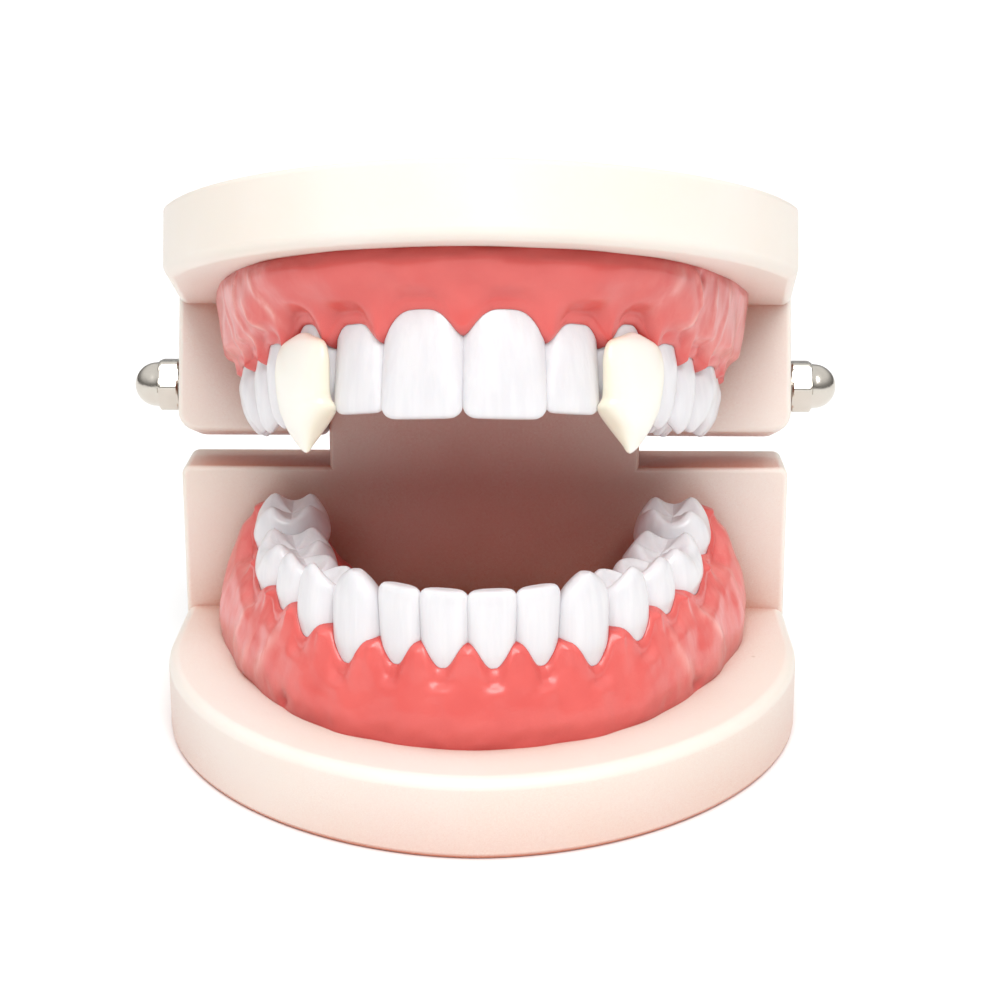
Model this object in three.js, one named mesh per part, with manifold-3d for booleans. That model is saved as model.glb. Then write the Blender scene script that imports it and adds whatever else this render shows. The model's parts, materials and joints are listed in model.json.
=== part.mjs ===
// A hinged dental display model that wears a pair of vampire fang caps.
// The lower jaw stands on its base plate, whose rear block carries a tongue with a hinge bolt.
// The upper jaw hangs on that bolt by two ears and is shown swung open.
// Each jaw is a plastic base, a gum with a socket for each tooth, and fourteen teeth on an elliptic arch.
// Millimetres, +Z up, the viewer looks along +Y, left is -X.
// The origin is the middle of the lower base's underside.
import * as THREE from "three";
import { mergeVertices } from "three/addons/utils/BufferGeometryUtils.js";
import Module from "manifold-3d";

const wasm = await Module();
wasm.setup();

// Rows of values as objects with named columns.
function table(columns, rows) {
  return rows.map((row) => Object.fromEntries(columns.map((column, index) => [column, row[index]])));
}

// Base plates
const BASE_WIDTH = 77;
const BASE_DEPTH = 64.5;
const FRONT_ARC_DEPTH = 43.5;
const FRONT_ARC_POWER = 1.88;
const FRONT_ARC_STEPS = 24;
const LOWER_PLATE_THICKNESS = 9.2;
const UPPER_PLATE_THICKNESS = 8.4;
const PLATE_EDGE_ROUND = 1.4;
const REAR_CORNER_RADIUS = 2;

// Rear block, ears and hinge
const BLOCK_DEPTH = 9;
const HINGE_RISE = 28.3;
const HINGE_DROP = 9.8;
const EAR_BELOW_AXIS = 6.2;
const EAR_TO_BLOCK_GAP = 3.4;
const EAR_CORNER_RADIUS = 2.6;
const BLOCK_CORNER_RADIUS = 1.2;
const BLOCK_EDGE_ROUND = 0.7;
const TONGUE_WIDTH = 39.2;
const TONGUE_SIDE_GAP = 0.4;
const BOLT_DIAMETER = 4;
const BOLT_SIDES = 12;
const OPEN_ANGLE = THREE.MathUtils.degToRad(18);

// Acorn nuts
const NUT_FLATS = 6.2;
const NUT_HEX_THICKNESS = 2.6;
const NUT_DOME_RADIUS = 2.8;
const NUT_HEIGHT = 5.8;
const NUT_BORE_DEPTH = 3.2;
const NUT_SIDES = 12;
const NUT_DOME_STEPS = 5;

// Gaps between neighbouring pieces
const SEAT_GAP = 0.3;
const SOCKET_GAP = 0.3;
const TOOTH_GAP = 0.3;
const BOLT_GAP = 0.3;

// Gums
const GUM_ROLL = 0.75;
const GUM_CREST_SETBACK = 0.25;
const GUM_INNER_ROLL = 0.4;
const GUM_PAD_LENGTH = 2;
const GUM_END_HEIGHT = 0.92;
const GUM_PAD_HEIGHT = 0.7;
const ROOT_FLOOR = 2;
const STATIONS_PER_TOOTH = 4;

// Fang caps
const FANG_LENGTH = 13;
const FANG_WIDTH = 8.2;
const FANG_THICKNESS = 5;
const FANG_WALL = 1.1;
const FANG_BELOW_GUM = 0.9;
const FANG_TURN = THREE.MathUtils.degToRad(10);
const FANG_SIDES = 12;

// A tooth's columns are shares: width of the half arch, tip and neck of the reach, thick and face of
// its own width (face is how far its front stands outside the arch), flare of the arch's half width
// (how far the gum's foot spreads), papilla of the reach (how far the gum climbs between teeth).
const TOOTH_COLUMNS = ["name", "shape", "width", "tip", "neck", "thick", "face", "flare", "papilla"];

// Each arch is the half ellipse through the teeth's contacts. Its rear end is a gap in front of the block.
// Reach is how far the front teeth stand off the plate's face, and skew turns the whole arch on its plate.
// Inside the arch, the floor is a share of the reach and foot of the floor, slope is the slope's height
// between the two, dip lowers the inner margin between teeth, and the runs are shares of the half width.
const LOWER = {
  name: "lower",
  wearsFangs: false,
  halfWidth: 23.8,
  depth: 40,
  rearGap: 4.6,
  reach: 17.3,
  skew: THREE.MathUtils.degToRad(-1.2),
  papillaPower: 1.5,
  inside: { floor: 0.17, foot: 1.15, slope: 0.45, dip: 0.12, slopeRun: 0.1, footRun: 0.19, middleRun: 0.3 },
  teeth: table(TOOTH_COLUMNS, [
    ["central_incisor", "incisor", 0.103, 1, 0.5, 1.1, 0.24, 0.125, 0.16],
    ["lateral_incisor", "incisor", 0.101, 0.995, 0.485, 1.12, 0.26, 0.145, 0.16],
    ["canine", "canine", 0.128, 1.035, 0.43, 1.05, 0.42, 0.2, 0.18],
    ["first_premolar", "premolar", 0.13, 0.975, 0.5, 1.08, 0.53, 0.235, 0.15],
    ["second_premolar", "premolar", 0.132, 0.93, 0.56, 1.12, 0.54, 0.265, 0.11],
    ["first_molar", "molar", 0.204, 0.905, 0.54, 0.94, 0.44, 0.315, 0.08],
    ["second_molar", "molar", 0.19, 0.99, 0.65, 0.98, 0.47, 0.375, 0.07],
  ]),
};
const UPPER = {
  name: "upper",
  wearsFangs: true,
  halfWidth: 25.6,
  depth: 41.5,
  rearGap: 4.4,
  reach: 17.4,
  skew: THREE.MathUtils.degToRad(-1.7),
  papillaPower: 2.2,
  inside: { floor: 0.2, foot: 1.15, slope: 0.5, dip: 0.12, slopeRun: 0.12, footRun: 0.32, middleRun: 0.36 },
  teeth: table(TOOTH_COLUMNS, [
    ["central_incisor", "incisor", 0.165, 1, 0.345, 0.74, 0.17, 0.19, 0.16],
    ["lateral_incisor", "incisor", 0.131, 0.955, 0.41, 0.83, 0.18, 0.235, 0.15],
    ["canine", "canine", 0.122, 1.03, 0.385, 1.05, 0.34, 0.26, 0.15],
    ["first_premolar", "premolar", 0.122, 1, 0.48, 1.3, 0.5, 0.255, 0.12],
    ["second_premolar", "premolar", 0.118, 1.01, 0.53, 1.32, 0.48, 0.245, 0.09],
    ["first_molar", "molar", 0.176, 1, 0.55, 1.08, 0.41, 0.25, 0.07],
    ["second_molar", "molar", 0.162, 0.98, 0.57, 1.1, 0.41, 0.27, 0.06],
  ]),
};

// A tooth is lofted through level sections. Up is a share of the crown, or below the neck of the root.
// Width is a share of the tooth's width, front and back are depths behind its face, shares of its thickness.
// Square is the section's superellipse power, and relief lifts the cusps by a share of the crown.
const LEVEL_COLUMNS = ["up", "width", "front", "back", "square", "relief"];
const CROWNS = {
  incisor: {
    sides: 10,
    cusps: 0,
    levels: table(LEVEL_COLUMNS, [
      [-1, 0.4, 0.3, 0.75, 2, 0],
      [0, 0.78, 0.07, 0.92, 2.1, 0],
      [0.25, 0.92, 0, 1, 2.2, 0],
      [0.55, 0.98, 0, 0.78, 2.4, 0],
      [0.87, 1, 0.06, 0.46, 2.6, 0],
      [1, 0.9, 0.12, 0.32, 2.6, 0],
    ]),
  },
  canine: {
    sides: 10,
    cusps: 0,
    levels: table(LEVEL_COLUMNS, [
      [-1, 0.42, 0.28, 0.75, 2, 0],
      [0, 0.74, 0.07, 0.92, 2.1, 0],
      [0.25, 0.9, 0, 1, 2.1, 0],
      [0.6, 1, 0.02, 0.82, 2.2, 0],
      [0.84, 0.84, 0.09, 0.58, 2.1, 0],
      [1, 0.24, 0.18, 0.38, 2, 0],
    ]),
  },
  premolar: {
    sides: 10,
    cusps: 2,
    levels: table(LEVEL_COLUMNS, [
      [-1, 0.45, 0.2, 0.8, 2, 0],
      [0, 0.74, 0.06, 0.92, 2.1, 0],
      [0.35, 0.94, 0, 1, 2.2, 0],
      [0.68, 1, 0.04, 0.97, 2.2, 0.03],
      [0.88, 0.86, 0.17, 0.85, 2.2, 0.12],
      [0.76, 0.36, 0.34, 0.66, 2, 0.06],
    ]),
  },
  molar: {
    sides: 12,
    cusps: 4,
    levels: table(LEVEL_COLUMNS, [
      [-1, 0.5, 0.18, 0.82, 2.2, 0],
      [0, 0.82, 0.06, 0.94, 2.4, 0],
      [0.35, 0.96, 0, 1, 2.6, 0],
      [0.68, 1, 0.04, 0.96, 2.6, 0.02],
      [0.9, 0.86, 0.16, 0.84, 2.6, 0.1],
      [0.76, 0.42, 0.33, 0.67, 2.2, 0.05],
    ]),
  },
};
const LINGUAL_TAPER = 0.2;

// Sections of a fang cap from its top edge down to its point. Down is a share of its length,
// width of its width, shift of its width towards the midline, front and back of its thickness.
const FANG_SECTIONS = table(["down", "width", "shift", "front", "back"], [
  [0, 0.19, -0.08, 0.24, 0.42],
  [0.1, 0.53, -0.115, 0.12, 0.62],
  [0.22, 0.81, -0.17, 0.04, 0.76],
  [0.35, 0.89, -0.18, 0, 0.86],
  [0.48, 0.88, -0.175, 0, 0.92],
  [0.61, 1, -0.04, 0.03, 1],
  [0.77, 0.71, -0.145, 0.12, 0.95],
  [0.9, 0.39, -0.13, 0.26, 0.74],
  [1, 0.07, -0.135, 0.44, 0.52],
]);

// A gum's outer face from its foot on the plate up to the rolled margin.
// Spread goes from 0 at the margin to 1 at the foot, height is a share of the margin's height.
const GUM_FACE = table(["spread", "height"], [
  [0.97, 0],
  [1.02, 0.27],
  [0.68, 0.66],
  [0.06, 0.94],
]);

const MATERIALS = {
  base: new THREE.MeshStandardMaterial({ color: 0xf3e6dc, roughness: 0.45 }),
  gum: new THREE.MeshStandardMaterial({ color: 0xe8625d, roughness: 0.35 }),
  tooth: new THREE.MeshStandardMaterial({ color: 0xf6f3f8, roughness: 0.3 }),
  fang: new THREE.MeshStandardMaterial({ color: 0xfaf4dc, roughness: 0.35 }),
  steel: new THREE.MeshStandardMaterial({ color: 0xb8b2a6, roughness: 0.25, metalness: 1 }),
};

const HALF_WIDTH = BASE_WIDTH / 2;
const HINGE_SETBACK = BASE_DEPTH - BLOCK_DEPTH / 2;
const BLOCK_RISE = HINGE_RISE - EAR_BELOW_AXIS - EAR_TO_BLOCK_GAP;
const EAR_DROP = HINGE_DROP + EAR_BELOW_AXIS;
const EAR_INNER = TONGUE_WIDTH / 2 + TONGUE_SIDE_GAP;
const BOLT_HOLE_RADIUS = BOLT_DIAMETER / 2 + BOLT_GAP;
const ARC_LENGTH_STEPS = 400;
const SIDES = [[-1, "left"], [1, "right"]];

const { lerp, clamp } = THREE.MathUtils;

function solidOf(geometry) {
  const bare = geometry.index ? geometry.toNonIndexed() : geometry.clone();
  bare.deleteAttribute("normal");
  bare.deleteAttribute("uv");
  const merged = mergeVertices(bare, 1e-4);
  return new wasm.Manifold(
    new wasm.Mesh({
      numProp: 3,
      vertProperties: merged.attributes.position.array,
      triVerts: new Uint32Array(merged.index.array),
    }),
  );
}

function geometryOf(solid) {
  const { vertProperties, triVerts } = solid.getMesh();
  const geometry = new THREE.BufferGeometry();
  geometry.setAttribute("position", new THREE.BufferAttribute(vertProperties, 3));
  geometry.setIndex(new THREE.BufferAttribute(triVerts, 1));
  geometry.computeVertexNormals();
  return geometry;
}

function geometryOfTriangles(points, triangles) {
  const geometry = new THREE.BufferGeometry();
  const coordinates = points.flatMap((p) => [p.x, p.y, p.z]);
  geometry.setAttribute("position", new THREE.Float32BufferAttribute(coordinates, 3));
  geometry.setIndex(triangles.flat());
  geometry.computeVertexNormals();
  return geometry;
}

// A closed solid through rings that run anticlockwise seen from above, stacked upwards.
function loft(rings) {
  const sides = rings[0].length;
  const points = rings.flat();
  const triangles = [];
  for (let level = 0; level + 1 < rings.length; level++) {
    for (let side = 0; side < sides; side++) {
      const a = level * sides + side;
      const b = level * sides + ((side + 1) % sides);
      triangles.push([a, b, b + sides], [a, b + sides, a + sides]);
    }
  }
  const middleOf = (ring) =>
    ring.reduce((sum, p) => sum.add(p), new THREE.Vector3()).divideScalar(ring.length);
  const bottom = points.push(middleOf(rings[0])) - 1;
  const top = points.push(middleOf(rings.at(-1))) - 1;
  const last = (rings.length - 1) * sides;
  for (let side = 0; side < sides; side++) {
    const next = (side + 1) % sides;
    triangles.push([bottom, next, side], [top, last + side, last + next]);
  }
  return geometryOfTriangles(points, triangles);
}

// A superellipse ring at one height, between a front and a back depth, narrower towards the back.
function ring({ sides, halfWidth, front, back, height, square, shift = 0, taper = 0, lift = () => 0 }) {
  const squash = (value) => Math.sign(value) * Math.abs(value) ** (2 / square);
  return Array.from({ length: sides }, (_, side) => {
    const angle = (side / sides) * 2 * Math.PI;
    const y = squash(Math.sin(angle));
    const narrowing = 1 - taper * Math.max(0, -y);
    return new THREE.Vector3(
      halfWidth * squash(Math.cos(angle)) * narrowing + shift,
      lerp(-(front + back) / 2, y > 0 ? -front : -back, Math.abs(y)),
      height + lift(angle),
    );
  });
}

// The plan outline of both plates: a superelliptic front, straight sides and rounded rear corners.
function plateShape() {
  const shape = new THREE.Shape();
  for (let step = 0; step <= FRONT_ARC_STEPS; step++) {
    const angle = lerp(-Math.PI / 2, Math.PI / 2, step / FRONT_ARC_STEPS);
    const sine = Math.sin(angle);
    const x = HALF_WIDTH * Math.sign(sine) * Math.abs(sine) ** (2 / FRONT_ARC_POWER);
    const y = FRONT_ARC_DEPTH * (1 - Math.cos(angle) ** (2 / FRONT_ARC_POWER));
    if (step === 0) shape.moveTo(x, y);
    else shape.lineTo(x, y);
  }
  const cornerX = HALF_WIDTH - REAR_CORNER_RADIUS;
  const cornerY = BASE_DEPTH - REAR_CORNER_RADIUS;
  shape.absarc(cornerX, cornerY, REAR_CORNER_RADIUS, 0, Math.PI / 2);
  shape.absarc(-cornerX, cornerY, REAR_CORNER_RADIUS, Math.PI / 2, Math.PI);
  return shape;
}

function roundedExtrude(shape, length, edge, curveSegments = 3) {
  return new THREE.ExtrudeGeometry(shape, {
    depth: length - 2 * edge,
    bevelThickness: edge,
    bevelSize: edge,
    bevelOffset: -edge,
    bevelSegments: 2,
    curveSegments,
  }).translate(0, 0, edge);
}

function plate(thickness, bottom) {
  return roundedExtrude(plateShape(), thickness, PLATE_EDGE_ROUND).translate(0, 0, bottom);
}

// A wall across the rear of a plate, drawn in the front view with rounded upper corners.
function rearWall({ left, right, bottom, top, leftRadius, rightRadius }) {
  const shape = new THREE.Shape();
  shape.moveTo(left, bottom);
  shape.lineTo(right, bottom);
  shape.absarc(right - rightRadius, top - rightRadius, rightRadius, 0, Math.PI / 2);
  shape.absarc(left + leftRadius, top - leftRadius, leftRadius, Math.PI / 2, Math.PI);
  const wall = roundedExtrude(shape, BLOCK_DEPTH, BLOCK_EDGE_ROUND);
  return wall.rotateX(Math.PI / 2).translate(0, BASE_DEPTH, 0);
}

// Turns a shape drawn in Y and Z, extruded along its own Z, so that it runs along X from the middle.
function acrossX(geometry, length) {
  const turn = new THREE.Matrix4().makeBasis(
    new THREE.Vector3(0, 1, 0),
    new THREE.Vector3(0, 0, 1),
    new THREE.Vector3(1, 0, 0),
  );
  return geometry.applyMatrix4(turn).translate(-length / 2, 0, 0);
}

function tongue() {
  const radius = BLOCK_DEPTH / 2;
  const shape = new THREE.Shape();
  shape.moveTo(HINGE_SETBACK - radius, BLOCK_RISE / 2);
  shape.lineTo(HINGE_SETBACK + radius, BLOCK_RISE / 2);
  shape.absarc(HINGE_SETBACK, HINGE_RISE, radius, 0, Math.PI);
  return acrossX(roundedExtrude(shape, TONGUE_WIDTH, BLOCK_EDGE_ROUND, 8), TONGUE_WIDTH);
}

function rod(radius, length, height) {
  return new THREE.CylinderGeometry(radius, radius, length, BOLT_SIDES)
    .rotateZ(Math.PI / 2)
    .translate(0, HINGE_SETBACK, height);
}

function lowerBase() {
  const block = rearWall({
    left: -HALF_WIDTH,
    right: HALF_WIDTH,
    bottom: -LOWER_PLATE_THICKNESS / 2,
    top: BLOCK_RISE,
    leftRadius: BLOCK_CORNER_RADIUS,
    rightRadius: BLOCK_CORNER_RADIUS,
  });
  const body = solidOf(plate(LOWER_PLATE_THICKNESS, -LOWER_PLATE_THICKNESS));
  const joined = body.add(solidOf(block)).add(solidOf(tongue()));
  return geometryOf(joined.subtract(solidOf(rod(BOLT_HOLE_RADIUS, BASE_WIDTH, HINGE_RISE))));
}

// One of the upper plate's two ears beside the tongue, with its outer lower corner rounded more.
function ear(side) {
  const reversed = side < 0;
  return rearWall({
    left: reversed ? -HALF_WIDTH : EAR_INNER,
    right: reversed ? -EAR_INNER : HALF_WIDTH,
    bottom: -UPPER_PLATE_THICKNESS / 2,
    top: EAR_DROP,
    leftRadius: reversed ? EAR_CORNER_RADIUS : BLOCK_CORNER_RADIUS,
    rightRadius: reversed ? BLOCK_CORNER_RADIUS : EAR_CORNER_RADIUS,
  });
}

function upperBase() {
  let body = solidOf(plate(UPPER_PLATE_THICKNESS, -UPPER_PLATE_THICKNESS));
  for (const [side] of SIDES) body = body.add(solidOf(ear(side)));
  return geometryOf(body.subtract(solidOf(rod(BOLT_HOLE_RADIUS, 2 * BASE_WIDTH, HINGE_DROP))));
}

// The teeth of one side in order, each with its sizes in millimetres and its middle along the half arch.
function measuredTeeth(jaw) {
  const halfArch = archCurve(jaw).getLength() / 2;
  let start = 0;
  return jaw.teeth.map((tooth) => {
    const width = tooth.width * halfArch;
    const middle = start + width / 2;
    start += width;
    return {
      ...tooth,
      width,
      middle,
      tip: tooth.tip * jaw.reach,
      neck: tooth.neck * jaw.reach,
      thick: tooth.thick * width,
      face: tooth.face * width,
      flare: tooth.flare * jaw.halfWidth,
      papilla: tooth.papilla * jaw.reach,
    };
  });
}

// How far behind the plate's front edge the arch ends.
function archEnd(jaw) {
  return BASE_DEPTH - BLOCK_DEPTH - jaw.rearGap;
}

function archCurve(jaw) {
  const curve = new THREE.EllipseCurve(0, archEnd(jaw), jaw.halfWidth, jaw.depth, 0, -Math.PI, true);
  curve.arcLengthDivisions = ARC_LENGTH_STEPS;
  return curve;
}

// The place on the arch at a distance from the midline, positive to the right, with its outward normal.
function archPlace(curve, distance) {
  const share = clamp(0.5 - distance / curve.getLength(), 0, 1);
  const tangent = curve.getTangentAt(share);
  return { point: curve.getPointAt(share), normal: new THREE.Vector2(-tangent.y, tangent.x) };
}

// A tooth in its own frame: X along the arch, Y outwards, Z from the plate's face to the crown's tip.
// Grow enlarges it on all sides, for the socket that it stands in.
function toothGeometry(tooth, grow = 0) {
  const { sides, cusps, levels } = CROWNS[tooth.shape];
  const crown = tooth.tip - tooth.neck;
  const root = tooth.neck - ROOT_FLOOR;
  const rings = levels.map((level, index) =>
    ring({
      sides,
      halfWidth: (level.width * (tooth.width - TOOTH_GAP)) / 2 + grow,
      front: level.front * tooth.thick - tooth.face - grow,
      back: level.back * tooth.thick - tooth.face + grow,
      height: tooth.neck + level.up * (level.up < 0 ? root : crown) + (index === 0 ? -grow : 0),
      square: level.square,
      taper: LINGUAL_TAPER,
      lift: (angle) => -level.relief * crown * Math.cos(cusps * angle),
    }),
  );
  return loft(rings);
}

// A fang cap's outer form in the frame of the canine that it covers, turned about the canine's middle
// to look more to the front. Side is 1 on the right and -1 on the left.
function fangGeometry(canine, side, grow = 0) {
  const top = canine.neck + FANG_BELOW_GUM;
  const face = canine.face + SOCKET_GAP + FANG_WALL;
  const middle = canine.face - canine.thick / 2;
  const rings = FANG_SECTIONS.map((section, index) =>
    ring({
      sides: FANG_SIDES,
      halfWidth: (section.width * FANG_WIDTH) / 2 + grow,
      front: section.front * FANG_THICKNESS - face - grow,
      back: section.back * FANG_THICKNESS - face + grow,
      height: top + section.down * FANG_LENGTH + (index === 0 ? -grow : 0),
      square: 2,
      shift: section.shift * FANG_WIDTH * side,
    }),
  );
  return loft(rings).translate(0, -middle, 0).rotateZ(-side * FANG_TURN).translate(0, middle, 0);
}

// The place of a tooth's own frame on the arch, on the right (side 1) or the left (-1).
function toothPlace(jaw, tooth, side) {
  const { point, normal } = archPlace(archCurve(jaw), side * tooth.middle);
  const place = new THREE.Object3D();
  place.position.set(point.x, point.y, 0);
  place.rotation.z = Math.atan2(-normal.x, normal.y);
  place.updateMatrix();
  return place;
}

// A value of the teeth's table at a distance along the half arch, blended between tooth middles.
function blendAlong(teeth, distance, column) {
  const after = teeth.findIndex((tooth) => tooth.middle > distance);
  if (after === 0) return teeth[0][column];
  if (after < 0) return teeth.at(-1)[column];
  const [a, b] = [teeth[after - 1], teeth[after]];
  return lerp(a[column], b[column], THREE.MathUtils.smoothstep(distance, a.middle, b.middle));
}

// One section of a gum on the right half of the arch: from the middle of the underside out to the foot,
// up the outer face, over the ridge and down to the middle of the floor or palate.
// The section moved back past the arch's end closes the gum.
function gumSection(jaw, teeth, curve, distance, endHeight = 1, movedBack = 0) {
  const { point, normal } = archPlace(curve, distance);
  const value = (column) => blendAlong(teeth, distance, column);
  const tooth = teeth.find((t) => distance <= t.middle + t.width / 2) ?? teeth.at(-1);
  const across = clamp(Math.abs(distance - tooth.middle) / (tooth.width / 2), 0, 1);
  const margin = (value("neck") + value("papilla") * across ** jaw.papillaPower) * endHeight;
  const rolled = value("face") + GUM_ROLL * (1 - across / 2);
  const back = value("thick") - value("face");
  const { inside } = jaw;
  const floor = inside.floor * jaw.reach;
  const innerMargin = margin * (1 - inside.dip * across);
  const lastMiddle = archEnd(jaw);
  const firstMiddle = lastMiddle - jaw.depth + back + inside.middleRun * jaw.halfWidth;
  const middleY = lerp(firstMiddle, lastMiddle, distance / (curve.getLength() / 2)) + movedBack;
  const at = (offset, height) =>
    new THREE.Vector3(
      point.x + normal.x * offset,
      point.y + normal.y * offset + movedBack,
      Math.max(height, SEAT_GAP),
    );
  return [
    new THREE.Vector3(0, middleY, SEAT_GAP),
    ...GUM_FACE.map((row) => at(lerp(rolled, value("flare"), row.spread), row.height * margin)),
    at(value("face") - GUM_CREST_SETBACK, margin),
    at(-back - GUM_INNER_ROLL, innerMargin),
    at(-back - inside.slopeRun * jaw.halfWidth, lerp(floor, innerMargin, inside.slope)),
    at(-back - inside.footRun * jaw.halfWidth, floor * inside.foot),
    new THREE.Vector3(0, middleY, floor),
  ];
}

// The gum before its sockets are cut: both halves of the ridge with the floor or palate between them.
function gumGeometry(jaw) {
  const curve = archCurve(jaw);
  const teeth = measuredTeeth(jaw);
  const end = curve.getLength() / 2;
  const distances = teeth.flatMap((tooth) =>
    Array.from({ length: STATIONS_PER_TOOTH }, (_, step) =>
      tooth.middle + tooth.width * (step / STATIONS_PER_TOOTH - 1 / 2)),
  );
  const half = [
    ...distances.map((distance) => gumSection(jaw, teeth, curve, distance)),
    gumSection(jaw, teeth, curve, end, GUM_END_HEIGHT),
    gumSection(jaw, teeth, curve, end, GUM_PAD_HEIGHT, GUM_PAD_LENGTH),
  ];
  const otherHalf = half.slice(1).map((section) => section.map((p) => new THREE.Vector3(-p.x, p.y, p.z)));
  const sections = [...otherHalf.reverse(), ...half];
  const size = half[0].length;
  const triangles = [];
  for (let s = 0; s + 1 < sections.length; s++) {
    for (let k = 0; k + 1 < size; k++) {
      const a = s * size + k;
      triangles.push([a, a + size, a + size + 1], [a, a + size + 1, a + 1]);
    }
  }
  for (const start of [0, (sections.length - 1) * size]) {
    const contour = sections[start / size].map((p) => new THREE.Vector2(p.x, p.z));
    const cap = THREE.ShapeUtils.triangulateShape(contour, []);
    triangles.push(...cap.map(([a, b, c]) => [a + start, c + start, b + start]));
  }
  return geometryOfTriangles(sections.flat(), triangles);
}

function meshOf(name, geometry, material) {
  const mesh = new THREE.Mesh(geometry, material);
  mesh.name = name;
  return mesh;
}

// One jaw's gum, teeth and fang caps, crowns upwards, with the plate's face at Z = 0.
// The group turns about the middle of the arch's rear end.
function dentition(jaw) {
  const group = new THREE.Group();
  const pivot = archEnd(jaw);
  group.rotation.z = jaw.skew;
  group.position.set(pivot * Math.sin(jaw.skew), pivot * (1 - Math.cos(jaw.skew)), 0);
  const teeth = measuredTeeth(jaw);
  let gum = solidOf(gumGeometry(jaw));
  for (const [side, sideName] of SIDES) {
    const places = teeth.map((tooth) => toothPlace(jaw, tooth, side));
    const sockets = teeth.map((tooth, index) =>
      solidOf(toothGeometry(tooth, SOCKET_GAP).applyMatrix4(places[index].matrix)));
    const add = (name, geometry, material, place) => {
      const mesh = meshOf(name, geometry, material);
      mesh.position.copy(place.position);
      mesh.rotation.copy(place.rotation);
      group.add(mesh);
    };
    teeth.forEach((tooth, index) => {
      add(`${jaw.name}_${sideName}_${tooth.name}`, toothGeometry(tooth), MATERIALS.tooth, places[index]);
      gum = gum.subtract(sockets[index]);
    });
    if (!jaw.wearsFangs) continue;
    const canine = teeth.findIndex((tooth) => tooth.shape === "canine");
    const { matrix } = places[canine];
    let cap = solidOf(fangGeometry(teeth[canine], side).applyMatrix4(matrix));
    for (const neighbour of [canine - 1, canine, canine + 1]) cap = cap.subtract(sockets[neighbour]);
    const capGeometry = geometryOf(cap).applyMatrix4(matrix.clone().invert());
    add(`fang_cap_${sideName}`, capGeometry, MATERIALS.fang, places[canine]);
    gum = gum.subtract(solidOf(fangGeometry(teeth[canine], side, SOCKET_GAP).applyMatrix4(matrix)));
  }
  group.add(meshOf(`${jaw.name}_gum`, geometryOf(gum), MATERIALS.gum));
  return group;
}

// An acorn nut on the Y axis: a hexagon with a dome, and a blind bore for the bolt's end.
function nutGeometry() {
  const corner = NUT_FLATS / Math.sqrt(3);
  const hexagon = new THREE.CylinderGeometry(corner, corner, NUT_HEX_THICKNESS, 6);
  const seam = NUT_HEX_THICKNESS / 2;
  const profile = [new THREE.Vector2(0, seam), new THREE.Vector2(NUT_DOME_RADIUS, seam)];
  for (let step = 0; step < NUT_DOME_STEPS; step++) {
    const angle = (step / NUT_DOME_STEPS) * (Math.PI / 2);
    const height = NUT_HEIGHT - NUT_DOME_RADIUS * (1 - Math.sin(angle));
    profile.push(new THREE.Vector2(NUT_DOME_RADIUS * Math.cos(angle), height));
  }
  profile.push(new THREE.Vector2(0, NUT_HEIGHT));
  const bore = new THREE.CylinderGeometry(BOLT_HOLE_RADIUS, BOLT_HOLE_RADIUS, 2 * NUT_BORE_DEPTH, BOLT_SIDES);
  return geometryOf(
    solidOf(hexagon.translate(0, NUT_HEX_THICKNESS / 2, 0))
      .add(solidOf(new THREE.LatheGeometry(profile, NUT_SIDES)))
      .subtract(solidOf(bore)),
  );
}

// The bolt through the ears and the tongue, with a nut on each end.
function hingeHardware() {
  const group = new THREE.Group();
  const length = BASE_WIDTH + 2 * NUT_BORE_DEPTH;
  group.add(meshOf("hinge_bolt", rod(BOLT_DIAMETER / 2, length, HINGE_DROP), MATERIALS.steel));
  const nut = nutGeometry();
  for (const [side, sideName] of SIDES) {
    const mesh = meshOf(`nut_${sideName}`, nut, MATERIALS.steel);
    mesh.position.set(side * (HALF_WIDTH + SEAT_GAP), HINGE_SETBACK, HINGE_DROP);
    mesh.rotation.z = -side * (Math.PI / 2);
    group.add(mesh);
  }
  return group;
}

const model = new THREE.Group();

const lowerJaw = new THREE.Group();
lowerJaw.position.set(0, -BASE_DEPTH / 2, LOWER_PLATE_THICKNESS);
lowerJaw.add(meshOf("lower_base", lowerBase(), MATERIALS.base), dentition(LOWER));
model.add(lowerJaw);

const upperHinge = new THREE.Group();
upperHinge.position.set(0, HINGE_SETBACK - BASE_DEPTH / 2, LOWER_PLATE_THICKNESS + HINGE_RISE);
upperHinge.rotation.x = -OPEN_ANGLE;
model.add(upperHinge);

// The upper jaw is made crowns up like the lower one, and mirrored top to bottom.
const upperJaw = new THREE.Group();
upperJaw.position.set(0, -HINGE_SETBACK, HINGE_DROP);
upperJaw.scale.z = -1;
upperJaw.add(meshOf("upper_base", upperBase(), MATERIALS.base), dentition(UPPER), hingeHardware());
upperHinge.add(upperJaw);

export default model;
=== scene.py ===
"""Dresses a hinged dental display model that wears a pair of vampire fang caps.

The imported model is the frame. Every sub-assembly builds its finished pieces in millimetres, in the plan of
its own plate with the crowns upwards, and places them in the part's frame before they ride on their body.
"""

import json
import logging
import math
from bisect import bisect_left
from collections.abc import Callable, Sequence
from dataclasses import dataclass, field
from enum import Enum
from functools import cached_property, lru_cache

import bmesh
import bpy
from mathutils import Matrix, Vector, noise

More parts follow.
